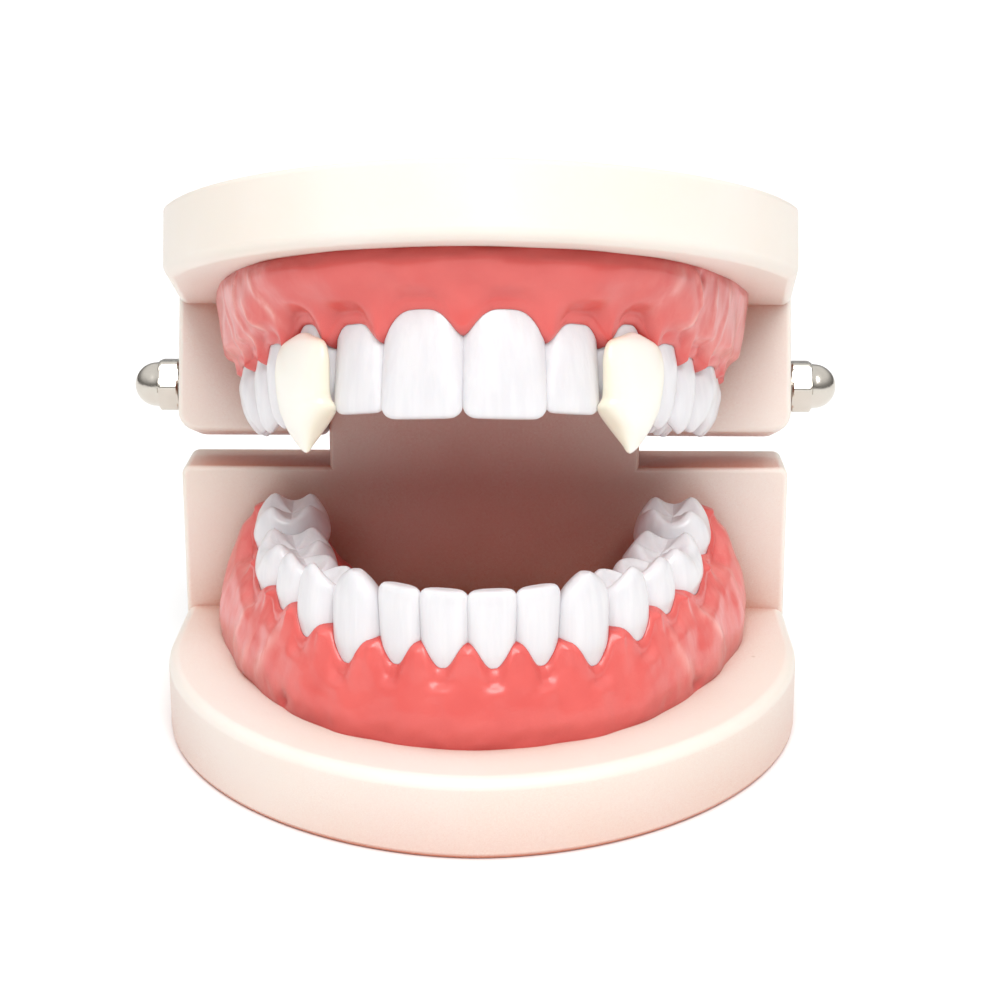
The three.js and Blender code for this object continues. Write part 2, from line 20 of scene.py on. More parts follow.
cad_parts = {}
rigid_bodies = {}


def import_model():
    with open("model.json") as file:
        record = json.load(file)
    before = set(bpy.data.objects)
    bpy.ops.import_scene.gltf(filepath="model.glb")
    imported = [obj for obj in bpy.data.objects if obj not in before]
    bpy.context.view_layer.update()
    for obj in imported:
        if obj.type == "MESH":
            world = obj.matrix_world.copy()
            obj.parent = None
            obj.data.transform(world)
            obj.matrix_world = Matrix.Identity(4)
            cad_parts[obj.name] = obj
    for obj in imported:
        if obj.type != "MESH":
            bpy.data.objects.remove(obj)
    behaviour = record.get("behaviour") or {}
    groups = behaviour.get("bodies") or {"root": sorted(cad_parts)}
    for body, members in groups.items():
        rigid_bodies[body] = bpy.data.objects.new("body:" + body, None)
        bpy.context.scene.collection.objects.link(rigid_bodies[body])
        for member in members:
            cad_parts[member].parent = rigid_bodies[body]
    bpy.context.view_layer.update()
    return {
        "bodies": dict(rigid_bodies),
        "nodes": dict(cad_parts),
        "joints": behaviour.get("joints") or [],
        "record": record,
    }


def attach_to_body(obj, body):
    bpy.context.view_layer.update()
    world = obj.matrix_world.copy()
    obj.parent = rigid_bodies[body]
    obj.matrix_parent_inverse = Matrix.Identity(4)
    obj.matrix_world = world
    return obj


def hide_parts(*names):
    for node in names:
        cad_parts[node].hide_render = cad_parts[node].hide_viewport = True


LOG = logging.getLogger("fang_model")

METRES = 0.001
WELD = 1e-5
SMOOTH_ANGLE = math.radians(32)
CORNER_ANGLE = math.radians(60)

Point = tuple[Vector, Vector]
Colour = tuple[float, float, float]


class Body(Enum):
    """The two rigid bodies of the hinge."""

    LOWER = "lower_jaw"
    UPPER = "upper_jaw"


class Slot(Enum):
    """The record's material slots."""

    BASE = "base_plastic"
    GUM = "gum_plastic"
    TOOTH = "tooth_plastic"
    FANG = "fang_resin"
    STEEL = "hinge_steel"


class Side(Enum):
    """A side of the model as the viewer sees it."""

    LEFT = -1
    RIGHT = 1

    @property
    def word(self) -> str:
        """The side's name in the nodes' names."""
        return self.name.lower()


def lerp(a: float, b: float, share: float) -> float:
    """The value at a share of the way from a to b."""
    return a + (b - a) * share


def clamp(value: float, low: float = 0.0, high: float = 1.0) -> float:
    """The value kept between two limits."""
    return max(low, min(high, value))


def smoothstep(value: float, low: float, high: float) -> float:
    """A soft step from 0 at low to 1 at high."""
    share = clamp((value - low) / (high - low))
    return share * share * (3 - 2 * share)


def bell(distance: float, width: float) -> float:
    """A bell curve, 1 at distance 0 and fading over a width."""
    return math.exp(-((distance / width) ** 2))


class Profile:
    """Named columns blended along the rows of a short table."""

    def __init__(self, columns: Sequence[str], rows: Sequence[Sequence[float]]) -> None:
        """Keeps the table.

        Args:
            columns: The names of the columns.
            rows: The rows in order.
        """
        self.columns = columns
        self.rows = rows

    def at(self, share: float) -> dict[str, float]:
        """The columns at a share of the way through the rows.

        Args:
            share: 0 at the first row and 1 at the last.

        Returns:
            A value for each column.
        """
        position = clamp(share) * (len(self.rows) - 1)
        index = min(int(position), len(self.rows) - 2)
        return {
            name: spline([row[column] for row in self.rows], index, position - index)
            for column, name in enumerate(self.columns)
        }

    @cached_property
    def samples(self) -> list[dict[str, float]]:
        """The columns at even steps through the rows."""
        steps = 120
        return [self.at(step / steps) for step in range(steps + 1)]

    def where(self, column: str, value: float) -> dict[str, float]:
        """The columns at the first place where one of them has risen to a value."""
        return next((row for row in self.samples if row[column] >= value), self.samples[-1])


def spline(values: Sequence, index: int, share: float) -> float | Vector:
    """A rounded curve through values.

    Args:
        values: Numbers or vectors in order.
        index: The value that the stretch starts at.
        share: How far along the stretch.

    Returns:
        The value there.
    """
    a, b = values[index], values[index + 1]
    before = values[max(index - 1, 0)]
    after = values[min(index + 2, len(values) - 1)]
    start, end = (b - before) * 0.5, (after - a) * 0.5
    square, cube = share * share, share * share * share
    return (
        a * (2 * cube - 3 * square + 1)
        + start * (cube - 2 * square + share)
        + b * (3 * square - 2 * cube)
        + end * (cube - square)
    )


@dataclass(frozen=True)
class BaseSizes:
    """The plates, blocks, ears and hinge, in millimetres."""

    width: float = 77.0
    depth: float = 64.5
    arc_depth: float = 43.5
    arc_power: float = 1.88
    lower_thickness: float = 9.2
    upper_thickness: float = 8.4
    face_edge_round: float = 1.4
    outer_edge_round: float = 0.7
    shoulder_half_width: float = 36.2
    shoulder_setback: float = 29.2
    corner_radius: float = 2.0
    block_depth: float = 9.0
    block_round: float = 0.7
    block_corner: float = 1.2
    hinge_rise: float = 28.3
    hinge_drop: float = 9.8
    ear_below_axis: float = 6.2
    ear_to_block_gap: float = 3.4
    ear_corner: float = 2.6
    tongue_width: float = 39.2
    tongue_side_gap: float = 0.4
    open_angle: float = math.radians(18)

    @property
    def half_width(self) -> float:
        """Half the plates' width."""
        return self.width / 2

    @property
    def hinge_setback(self) -> float:
        """How far the hinge lies behind the plate's front edge."""
        return self.depth - self.block_depth / 2

    @property
    def block_rise(self) -> float:
        """How far the rear block stands above the lower plate."""
        return self.hinge_rise - self.ear_below_axis - self.ear_to_block_gap

    @property
    def lower_place(self) -> Matrix:
        """From the lower plate's plan to the part's frame."""
        return Matrix.Translation((0, -self.depth / 2, self.lower_thickness))

    @property
    def upper_place(self) -> Matrix:
        """From the upper plate's plan, crowns upwards, to the part's frame at rest."""
        hinge = Matrix.Translation(
            (0, self.hinge_setback - self.depth / 2, self.lower_thickness + self.hinge_rise)
        )
        swing = Matrix.Rotation(-self.open_angle, 4, "X")
        drop = Matrix.Translation((0, -self.hinge_setback, self.hinge_drop))
        return hinge @ swing @ drop @ Matrix.Diagonal((1, 1, -1, 1))

    def outline(self, turn: float, shouldered: bool) -> tuple[float, float]:
        """A point of a plate's plan outline.

        Args:
            turn: 0 at the front's middle, round the right side and the rear to 1.
            shouldered: Whether the sides start at a corner, or the front runs smoothly into them.

        Returns:
            The point's x and y.
        """
        side = 1 if turn < 0.5 else -1
        share = 2 * min(turn, 1 - turn)
        front_share, side_share = 0.8, 0.82
        if share <= front_share:
            angle = math.pi / 2 * share / front_share
            x = self.half_width * math.sin(angle) ** (2 / self.arc_power)
            y = self.arc_depth * (1 - max(math.cos(angle), 0.0) ** (2 / self.arc_power))
        elif share <= side_share:
            x, y = self.half_width, self.depth - self.block_depth
        else:
            angle = math.pi / 2 * (share - side_share) / (1 - side_share)
            x = self.half_width - self.corner_radius * (1 - math.cos(angle))
            y = self.depth - self.corner_radius * (1 - math.sin(angle))
        if shouldered and y > self.shoulder_setback:
            straight = self.depth - self.block_depth - self.shoulder_setback
            run = clamp((y - self.shoulder_setback) / straight)
            x = min(x, lerp(self.shoulder_half_width, self.half_width, run))
        return side * x, y


def mapped_grid(columns: int, rows: int, place: Callable[[float, float], Point]) -> bmesh.types.BMesh:
    """A grid moved onto a surface, with its seam and poles welded.

    Args:
        columns: Faces along the first share.
        rows: Faces along the second share.
        place: Gives the point and its marks for two shares from 0 to 1.

    Returns:
        The surface, with a vector layer named marks.
    """
    bm = bmesh.new()
    bmesh.ops.create_grid(bm, x_segments=columns, y_segments=rows, size=0.5)
    layer = bm.verts.layers.float_vector.new("marks")
    for vert in bm.verts:
        vert.co, vert[layer] = place(clamp(vert.co.x + 0.5), clamp(vert.co.y + 0.5))
    bmesh.ops.remove_doubles(bm, verts=bm.verts, dist=WELD)
    bmesh.ops.dissolve_degenerate(bm, edges=bm.edges, dist=WELD)
    return bm


def make_piece(name: str, bm: bmesh.types.BMesh, place: Matrix,
               material: bpy.types.Material) -> bpy.types.Object:
    """An object at the origin from a bmesh in millimetres.

    Args:
        name: The piece's name.
        bm: The shape, which is freed.
        place: From the shape's own plan to the part's frame, in millimetres.
        material: The finish.

    Returns:
        The piece.
    """
    bmesh.ops.transform(bm, matrix=Matrix.Scale(METRES, 4) @ place, verts=bm.verts)
    bmesh.ops.recalc_face_normals(bm, faces=bm.faces)
    for face in bm.faces:
        face.smooth = True
    mesh = bpy.data.meshes.new(name)
    bm.to_mesh(mesh)
    bm.free()
    mesh.set_sharp_from_angle(angle=SMOOTH_ANGLE)
    mesh.materials.append(material)
    piece = bpy.data.objects.new(name, mesh)
    bpy.context.scene.collection.objects.link(piece)
    return piece


def attach(piece: bpy.types.Object, body: Body, slot: Slot, *nodes: str) -> None:
    """Rides a piece on its body, in place of the nodes that it stands for."""
    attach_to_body(piece, body.value)
    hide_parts(*nodes)
    LOG.info("%s stands for %s on %s", piece.name, ", ".join(nodes), body.value)


def apply_modifiers(piece: bpy.types.Object) -> None:
    """Bakes a piece's modifiers into its mesh."""
    graph = bpy.context.evaluated_depsgraph_get()
    mesh = bpy.data.meshes.new_from_object(piece.evaluated_get(graph), depsgraph=graph)
    piece.modifiers.clear()
    piece.data = mesh


def cut_or_join(piece: bpy.types.Object, other: bpy.types.Object, operation: str) -> None:
    """Joins another object to a piece or cuts it out, and deletes the other.

    Args:
        piece: The piece that changes.
        other: The object that is used up.
        operation: UNION or DIFFERENCE.
    """
    modifier = piece.modifiers.new("join", "BOOLEAN")
    modifier.object = other
    modifier.operation = operation
    modifier.solver = "EXACT"
    apply_modifiers(piece)
    bpy.data.objects.remove(other)


class NodeSheet:
    """A node tree that is filled by short calls."""

    def __init__(self, tree: bpy.types.NodeTree) -> None:
        """Starts on an empty tree."""
        self.tree = tree
        tree.nodes.clear()

    def add(self, kind: str, inputs: dict | None = None, **settings) -> bpy.types.Node:
        """Adds a node.

        Args:
            kind: The node's type.
            inputs: Sockets by name or index, each with a value or with the socket that feeds it.
            settings: The node's own properties.

        Returns:
            The node.
        """
        node = self.tree.nodes.new(kind)
        for name, value in settings.items():
            setattr(node, name, value)
        for name, value in (inputs or {}).items():
            if isinstance(value, bpy.types.NodeSocket):
                self.tree.links.new(value, node.inputs[name])
            else:
                node.inputs[name].default_value = value
        return node

    def mix(self, share, first, second) -> bpy.types.NodeSocket:
        """The socket of a colour mixed from two."""
        node = self.add("ShaderNodeMix", data_type="RGBA")
        for index, value in ((0, share), (6, first), (7, second)):
            if isinstance(value, bpy.types.NodeSocket):
                self.tree.links.new(value, node.inputs[index])
            else:
                node.inputs[index].default_value = (*value, 1) if isinstance(value, tuple) else value
        return node.outputs[2]

    def maths(self, operation: str, first, second=0.0) -> bpy.types.NodeSocket:
        """The socket of a sum, product or other operation on two values."""
        node = self.add("ShaderNodeMath", {0: first, 1: second}, operation=operation, use_clamp=True)
        return node.outputs[0]

    def ramp(self, value, low: float, high: float) -> bpy.types.NodeSocket:
        """The socket of a value stretched from a range to 0 and 1."""
        node = self.add("ShaderNodeMapRange", {0: value, 1: low, 2: high})
        node.interpolation_type = "SMOOTHSTEP"
        return node.outputs[0]


def new_group(name: str, inputs: dict[str, float],
              outputs: Sequence[str]) -> tuple[NodeSheet, bpy.types.Node]:
    """An empty node group with value sockets.

    Args:
        name: The group's name.
        inputs: Names and first values of its inputs.
        outputs: Names of its outputs.

    Returns:
        The group's sheet and its input node.
    """
    tree = bpy.data.node_groups.new(name, "ShaderNodeTree")
    sheet = NodeSheet(tree)
    kind = "NodeSocketFloat"
    for word, value in inputs.items():
        tree.interface.new_socket(word, in_out="INPUT", socket_type=kind).default_value = value
    for word in outputs:
        tree.interface.new_socket(word, in_out="OUTPUT", socket_type=kind)
    return sheet, sheet.add("NodeGroupInput")


@lru_cache(maxsize=None)
def patches_group() -> bpy.types.NodeTree:
    """Soft patches over a surface, used by every plastic.

    Returns:
        A group that puts out a mask, stretched along Z by the input Stretch.
    """
    sheet, given = new_group("soft_patches", {"Scale": 100.0, "Detail": 3.0, "Stretch": 1.0}, ["Mask"])
    where = sheet.add("ShaderNodeTexCoord").outputs["Object"]
    squeeze = sheet.add("ShaderNodeCombineXYZ", {0: 1.0, 1: 1.0, 2: given.outputs["Stretch"]}).outputs[0]
    squeezed = sheet.add("ShaderNodeVectorMath", {0: where, 1: squeeze}, operation="MULTIPLY").outputs[0]
    spots = sheet.add(
        "ShaderNodeTexNoise",
        {"Vector": squeezed, "Scale": given.outputs["Scale"], "Detail": given.outputs["Detail"]},
    )
    mask = sheet.ramp(spots.outputs["Fac"], low=0.32, high=0.68)
    sheet.add("NodeGroupOutput", {"Mask": mask})
    return sheet.tree


@lru_cache(maxsize=None)
def specks_group() -> bpy.types.NodeTree:
    """Small scattered specks, such as dust under a moulded surface.

    Returns:
        A group that puts out a mask.
    """
    sheet, given = new_group("specks", {"Scale": 300.0, "Size": 0.1}, ["Mask"])
    where = sheet.add("ShaderNodeTexCoord").outputs["Object"]
    cells = sheet.add("ShaderNodeTexVoronoi", {"Vector": where, "Scale": given.outputs["Scale"]})
    keep = sheet.add("ShaderNodeSeparateColor", {0: cells.outputs["Color"]}).outputs[0]
    share_left_out = 0.93
    near = sheet.maths("LESS_THAN", cells.outputs["Distance"], given.outputs["Size"])
    chosen = sheet.maths("GREATER_THAN", keep, share_left_out)
    sheet.add("NodeGroupOutput", {"Mask": sheet.maths("MULTIPLY", near, chosen)})
    return sheet.tree


@dataclass(frozen=True)
class Finish:
    """A finish of one material: its gloss values and how its colour is worked out.

    Softness is how much light passes under the surface, and the glow sizes say how far, for each colour.
    """

    name: str
    colour: Colour
    second: Colour
    roughness: float
    coat: float = 0.0
    coat_roughness: float = 0.1
    metallic: float = 0.0
    softness: float = 0.0
    bump_scale: float = 900.0
    bump: float = 0.05
    bump_reach: float = 0.0002
    patch_scale: float = 70.0
    stretch: float = 1.0
    glow_reach: float = 0.0015
    glow_shares: Colour = (1.0, 0.5, 0.35)

    def patches(self, sheet: NodeSheet, scale: float, detail: float, stretch: float) -> bpy.types.NodeSocket:
        """The mask of the shared patches group at a scale."""
        group = sheet.add("ShaderNodeGroup", node_tree=patches_group())
        for word, value in (("Scale", scale), ("Detail", detail), ("Stretch", stretch)):
            group.inputs[word].default_value = value
        return group.outputs["Mask"]

    def enclosed(self, sheet: NodeSheet, reach: float, open_share: float,
                 shut_share: float) -> bpy.types.NodeSocket:
        """How far a place is walled in by what stands round it.

        Args:
            sheet: The material's sheet.
            reach: How far away the walls count, in metres.
            open_share: The unblocked share that counts as open.
            shut_share: The unblocked share that counts as walled in.

        Returns:
            A mask from 0 to 1.
        """
        # This ambient occlusion mask is what lays the plastics' painted shade
        around = sheet.add("ShaderNodeAmbientOcclusion", {"Distance": reach}, samples=4)
        blocked = sheet.maths("SUBTRACT", 1.0, around.outputs["AO"])
        return sheet.ramp(blocked, 1 - open_share, 1 - shut_share)

    def paint(self, sheet: NodeSheet) -> bpy.types.NodeSocket:
        """The socket of the surface's colour."""
        mask = self.patches(sheet, self.patch_scale, 3.0, self.stretch)
        return sheet.mix(mask, self.colour, self.second)

    @lru_cache(maxsize=None)
    def material(self) -> bpy.types.Material:
        """The material, built once."""
        material = bpy.data.materials.new(self.name)
        material.use_nodes = True
        sheet = NodeSheet(material.node_tree)
        height = self.patches(sheet, self.bump_scale, 2.0, self.stretch)
        bump = sheet.add("ShaderNodeBump", {
            "Height": height,
            "Strength": self.bump,
            "Distance": self.bump_reach,
        })
        shader = sheet.add("ShaderNodeBsdfPrincipled", {
            "Base Color": self.paint(sheet),
            "Roughness": self.roughness,
            "Metallic": self.metallic,
            "Coat Weight": self.coat,
            "Coat Roughness": self.coat_roughness,
            "Subsurface Weight": self.softness,
            "Subsurface Radius": self.glow_shares,
            "Subsurface Scale": self.glow_reach,
            "Normal": bump.outputs["Normal"],
        })
        sheet.add("ShaderNodeOutputMaterial", {"Surface": shader.outputs["BSDF"]})
        return material


@dataclass(frozen=True)
class GumFinish(Finish):
    """Salmon gum with pale streaks, painted highlight along its raised folds and paler towards its sides, and
    painted shade in deeper red in its sunken creases, where the shape's marks say.

    It takes the deeper red painted shade too where it is walled in.
    """

    # pale: the streak colour, painted highlight along the raised folds and a paler tone towards the sides
    pale: Colour = (0.84, 0.37, 0.33)
    # deep: painted shade, deeper red, in the sunken creases and where the gum is walled in
    deep: Colour = (0.5, 0.05, 0.045)

    def paint(self, sheet: NodeSheet) -> bpy.types.NodeSocket:
        """The socket of the gum's colour."""
        plain = super().paint(sheet)
        marks = sheet.add("ShaderNodeAttribute", attribute_name="marks").outputs["Vector"]
        parts = sheet.add("ShaderNodeSeparateXYZ", {0: marks})
        # Noise that breaks the pale marks, painted highlight along the folds, into streaks
        streak_noise = self.patches(sheet, scale=560.0, detail=4.0, stretch=0.4)
        least_streak_noise = 0.25
        pale = sheet.maths("MULTIPLY", parts.outputs[0], sheet.maths("ADD", streak_noise, least_streak_noise))
        streaked = sheet.mix(pale, plain, self.pale)
        # Painted shade: deeper red where the gum is walled in and in the sunken creases that the marks name
        walled = self.enclosed(sheet, reach=0.02, open_share=0.72, shut_share=0.42)
        shade = sheet.maths("MAXIMUM", parts.outputs[1], walled)
        return sheet.mix(shade, streaked, self.deep)


@dataclass(frozen=True)
class FangFinish(Finish):
    """Ivory resin, with painted shade, darker and yellower, towards the side edges that the shape's marks
    name.
    """

    def paint(self, sheet: NodeSheet) -> bpy.types.NodeSocket:
        """The socket of the resin's colour."""
        marks = sheet.add("ShaderNodeAttribute", attribute_name="marks").outputs["Vector"]
        edge = sheet.add("ShaderNodeSeparateXYZ", {0: marks}).outputs[0]
        # Painted shade towards the side edges, where the rounded cap turns from the light
        return sheet.mix(edge, self.colour, self.second)


@dataclass(frozen=True)
class CreamFinish(Finish):
    """Cream plastic with a few brown specks, and painted shade tinted by painted red bounce light off the
    gums where it is walled in.
    """

    speck: Colour = (0.45, 0.3, 0.2)
    speck_strength: float = 0.35
    speck_scale: float = 120.0
    speck_size: float = 0.03
    # shaded: painted shade with painted red bounce light from the gums, mixed in where the plastic is walled
    # in
    shaded: Colour = (0.53, 0.155, 0.08)

    def paint(self, sheet: NodeSheet) -> bpy.types.NodeSocket:
        """The socket of the plastic's colour."""
        # Painted shade and painted red bounce light: the walled-in mask mixes the cream towards the shaded
        # colour
        walled = self.enclosed(sheet, reach=0.035, open_share=0.6, shut_share=0.28)
        plain = sheet.mix(walled, super().paint(sheet), self.shaded)
        group = sheet.add("ShaderNodeGroup", node_tree=specks_group())
        group.inputs["Scale"].default_value = self.speck_scale
        group.inputs["Size"].default_value = self.speck_size
        specks = sheet.maths("MULTIPLY", group.outputs["Mask"], self.speck_strength)
        return sheet.mix(specks, plain, self.speck)


CREAM = CreamFinish("cream_plastic", (0.86, 0.8, 0.735), (0.84, 0.77, 0.69), roughness=0.42, softness=0.1,
                    bump_scale=600.0, bump=0.05, patch_scale=45.0)
GUM = GumFinish("salmon_gum", (0.74, 0.125, 0.11), (0.69, 0.1, 0.088), roughness=0.34, coat=0.25,
                coat_roughness=0.18, softness=0.15, bump_scale=500.0, bump=0.12, patch_scale=130.0)
TOOTH = Finish("tooth_white", (0.77, 0.76, 0.775), (0.73, 0.72, 0.74), roughness=0.28, coat=0.2, softness=0.1,
               bump_scale=1500.0, bump=0.1, patch_scale=900.0, stretch=0.1)
# The ivory's second colour is its painted shade towards the cap's side edges
IVORY = FangFinish("ivory_resin", (0.9, 0.88, 0.81), (0.86, 0.81, 0.66), roughness=0.3, coat=0.25,
                   coat_roughness=0.15, softness=0.15, bump_scale=300.0, bump=0.03)
STEEL = Finish("nickel_steel", (0.66, 0.62, 0.56), (0.6, 0.56, 0.5), roughness=0.2, metallic=1.0,
               bump_scale=1200.0, bump=0.04, patch_scale=200.0)


def plate_shape(sizes: BaseSizes, thickness: float, shouldered: bool) -> bmesh.types.BMesh:
    """A plate with its face at Z = 0 and its body below.

    Args:
        sizes: The base's sizes.
        thickness: The plate's thickness.
        shouldered: Whether its sides start at a corner.

    Returns:
        The shape in the plate's plan.
    """
    bm = bmesh.new()
    ring = bmesh.ops.create_circle(bm, cap_ends=True, segments=300, radius=1)["verts"]
    for index, vert in enumerate(ring):
        vert.co = (*sizes.outline(index / len(ring), shouldered), 0)
    bmesh.ops.remove_doubles(bm, verts=bm.verts, dist=WELD)
    raised = bmesh.ops.extrude_face_region(bm, geom=bm.faces[:])
    moved = [item for item in raised["geom"] if isinstance(item, bmesh.types.BMVert)]
    bmesh.ops.translate(bm, vec=(0, 0, -thickness), verts=moved)
    rims = [edge for edge in bm.edges if abs(edge.verts[0].co.z - edge.verts[1].co.z) < WELD]
    face_rim = [edge for edge in rims if edge.verts[0].co.z > -WELD]
    outer_rim = [edge for edge in rims if edge.verts[0].co.z < -WELD]
    bevel(bm, face_rim, sizes.face_edge_round, 5)
    bevel(bm, outer_rim, sizes.outer_edge_round, 4)
    return bm


def bevel(bm: bmesh.types.BMesh, edges: Sequence[bmesh.types.BMEdge], offset: float, segments: int) -> None:
    """Rounds edges."""
    bmesh.ops.bevel(bm, geom=list(edges), offset=offset, offset_type="OFFSET", segments=segments, profile=0.5,
                    affect="EDGES", material=-1, clamp_overlap=True)


def edges_along(bm: bmesh.types.BMesh, axis: int, test: Callable[[Vector], bool]) -> list[bmesh.types.BMEdge]:
    """The edges that run along an axis and whose middle passes a test."""
    found, least_share = [], 0.9
    for edge in bm.edges:
        a, b = edge.verts[0].co, edge.verts[1].co
        run = b - a
        if abs(run[axis]) > least_share * run.length and test((a + b) / 2):
            found.append(edge)
    return found


def wall_shape(sizes: BaseSizes, left: float, right: float, bottom: float, top: float,
               left_radius: float, right_radius: float) -> bmesh.types.BMesh:
    """A wall across the rear of a plate, with rounded free corners.

    Args:
        sizes: The base's sizes.
        left: Its left end.
        right: Its right end.
        bottom: The height where it starts, inside the plate.
        top: The height of its free end.
        left_radius: Radius of its free left corner.
        right_radius: Radius of its free right corner.

    Returns:
        The shape in the plate's plan.
    """
    bm = bmesh.new()
    middle = Vector(((left + right) / 2, sizes.depth - sizes.block_depth / 2, (bottom + top) / 2))
    extent = Matrix.Diagonal((right - left, sizes.block_depth, top - bottom, 1))
    bmesh.ops.create_cube(bm, size=1, matrix=Matrix.Translation(middle) @ extent)
    bevel(bm, edges_along(bm, 1, lambda p: p.z > middle.z and p.x < middle.x), left_radius, 6)
    bevel(bm, edges_along(bm, 1, lambda p: p.z > middle.z and p.x > middle.x), right_radius, 6)
    corners = [edge for edge in bm.edges if edge.calc_face_angle(0) > CORNER_ANGLE]
    bevel(bm, corners, sizes.block_round, 4)
    return bm


def tongue_shape(sizes: BaseSizes) -> bmesh.types.BMesh:
    """The tongue that carries the bolt, round at its top."""
    bm = bmesh.new()
    radius = sizes.block_depth / 2
    top = sizes.hinge_rise + radius
    bottom = sizes.block_rise / 2
    extent = Matrix.Diagonal((sizes.tongue_width, sizes.block_depth, top - bottom, 1))
    middle = Vector((0, sizes.hinge_setback, (top + bottom) / 2))
    bmesh.ops.create_cube(bm, size=1, matrix=Matrix.Translation(middle) @ extent)
    almost_round, near_side = 0.995, 0.4 * sizes.tongue_width
    bevel(bm, edges_along(bm, 0, lambda p: p.z > middle.z), radius * almost_round, 14)
    sides = [edge for edge in bm.edges
             if edge.calc_face_angle(0) > CORNER_ANGLE and abs(edge.verts[0].co.x) > near_side]
    bevel(bm, sides, sizes.block_round, 4)
    return bm


@dataclass
class Bases:
    """The two plates with what stands on them."""

    sizes: BaseSizes = field(default_factory=BaseSizes)

    def build(self) -> None:
        """Builds, dresses and attaches both bases."""
        sizes = self.sizes
        block = wall_shape(sizes, -sizes.half_width, sizes.half_width, -sizes.lower_thickness / 2,
                           sizes.block_rise, sizes.block_corner, sizes.block_corner)
        lower = self.join("base_lower", sizes.lower_place, plate_shape(sizes, sizes.lower_thickness, False),
                          block, tongue_shape(sizes))
        attach(lower, Body.LOWER, Slot.BASE, "lower_base")
        inner = sizes.tongue_width / 2 + sizes.tongue_side_gap
        drop = sizes.hinge_drop + sizes.ear_below_axis
        ears = [
            wall_shape(sizes, -sizes.half_width, -inner, -sizes.upper_thickness / 2, drop,
                       sizes.ear_corner, sizes.block_corner),
            wall_shape(sizes, inner, sizes.half_width, -sizes.upper_thickness / 2, drop,
                       sizes.block_corner, sizes.ear_corner),
        ]
        plate = plate_shape(sizes, sizes.upper_thickness, True)
        upper = self.join("base_upper", sizes.upper_place, plate, *ears)
        attach(upper, Body.UPPER, Slot.BASE, "upper_base")

    def join(self, name: str, place: Matrix, first: bmesh.types.BMesh,
             *others: bmesh.types.BMesh) -> bpy.types.Object:
        """One moulded piece from shapes that run into each other.

        Args:
            name: The piece's name.
            place: From the plan to the part's frame.
            first: The plate.
            others: What stands on it.

        Returns:
            The piece.
        """
        piece = make_piece(name, first, place, CREAM.material())
        for shape in others:
            cut_or_join(piece, make_piece("join", shape, place, CREAM.material()), "UNION")
        for polygon in piece.data.polygons:
            polygon.use_smooth = True
        piece.data.set_sharp_from_angle(angle=SMOOTH_ANGLE)
        piece.modifiers.new("even_shading", "WEIGHTED_NORMAL").keep_sharp = True
        apply_modifiers(piece)
        return piece


class Crown(Enum):
    """The kinds of crown."""

    INCISOR = "incisor"
    CANINE = "canine"
    PREMOLAR = "premolar"
    MOLAR = "molar"


LEVELS = ("up", "width", "front", "back", "square", "relief")
CROWN_LEVELS = {
    Crown.INCISOR: (0, Profile(LEVELS, [
        (-1, 0, 0.5, 0.5, 2, 0),
        (-1, 0.45, 0.3, 0.75, 2, 0),
        (0, 1, 0.05, 0.92, 2.6, 0),
        (0.22, 1, 0, 1, 2.8, 0),
        (0.5, 1, 0, 0.8, 3, 0),
        (0.78, 1, 0.035, 0.55, 3.3, 0),
        (0.89, 0.99, 0.065, 0.45, 3.2, 0),
        (0.945, 0.94, 0.09, 0.4, 3, 0),
        (0.983, 0.83, 0.12, 0.36, 2.8, 0),
        (1, 0.64, 0.17, 0.32, 2.6, 0),
        (1, 0, 0.24, 0.24, 2, 0),
    ])),
    Crown.CANINE: (0, Profile(LEVELS, [
        (-1, 0, 0.5, 0.5, 2, 0),
        (-1, 0.45, 0.28, 0.75, 2, 0),
        (0, 0.98, 0.06, 0.92, 2.4, 0),
        (0.25, 1, 0, 1, 2.5, 0),
        (0.5, 1, 0.01, 0.88, 2.5, 0),
        (0.7, 0.98, 0.04, 0.72, 2.4, 0),
        (0.84, 0.8, 0.09, 0.6, 2.2, 0),
        (0.93, 0.52, 0.14, 0.5, 2.1, 0),
        (0.985, 0.26, 0.19, 0.42, 2, 0),
        (1, 0.12, 0.23, 0.36, 2, 0),
        (1, 0, 0.3, 0.3, 2, 0),
    ])),
    Crown.PREMOLAR: (2, Profile(LEVELS, [
        (-1, 0, 0.5, 0.5, 2, 0),
        (-1, 0.45, 0.2, 0.8, 2, 0),
        (0, 0.97, 0.05, 0.93, 2.4, 0),
        (0.3, 1, 0, 1, 2.5, 0),
        (0.6, 1, 0.03, 0.98, 2.4, 0.02),
        (0.8, 0.95, 0.1, 0.91, 2.3, 0.1),
        (0.885, 0.82, 0.2, 0.82, 2.2, 0.135),
        (0.86, 0.66, 0.28, 0.75, 2.1, 0.13),
        (0.76, 0.38, 0.38, 0.64, 2, 0.07),
        (0.7, 0, 0.5, 0.5, 2, 0),
    ])),
    Crown.MOLAR: (4, Profile(LEVELS, [
        (-1, 0, 0.5, 0.5, 2, 0),
        (-1, 0.5, 0.18, 0.82, 2.2, 0),
        (0, 0.95, 0.05, 0.95, 2.6, 0),
        (0.3, 1, 0, 1, 2.7, 0),
        (0.6, 1, 0.03, 0.97, 2.7, 0.015),
        (0.8, 0.95, 0.09, 0.91, 2.6, 0.07),
        (0.885, 0.84, 0.17, 0.84, 2.5, 0.11),
        (0.865, 0.7, 0.24, 0.77, 2.4, 0.11),
        (0.77, 0.4, 0.35, 0.66, 2.2, 0.06),
        (0.7, 0, 0.5, 0.5, 2, 0),
    ])),
}

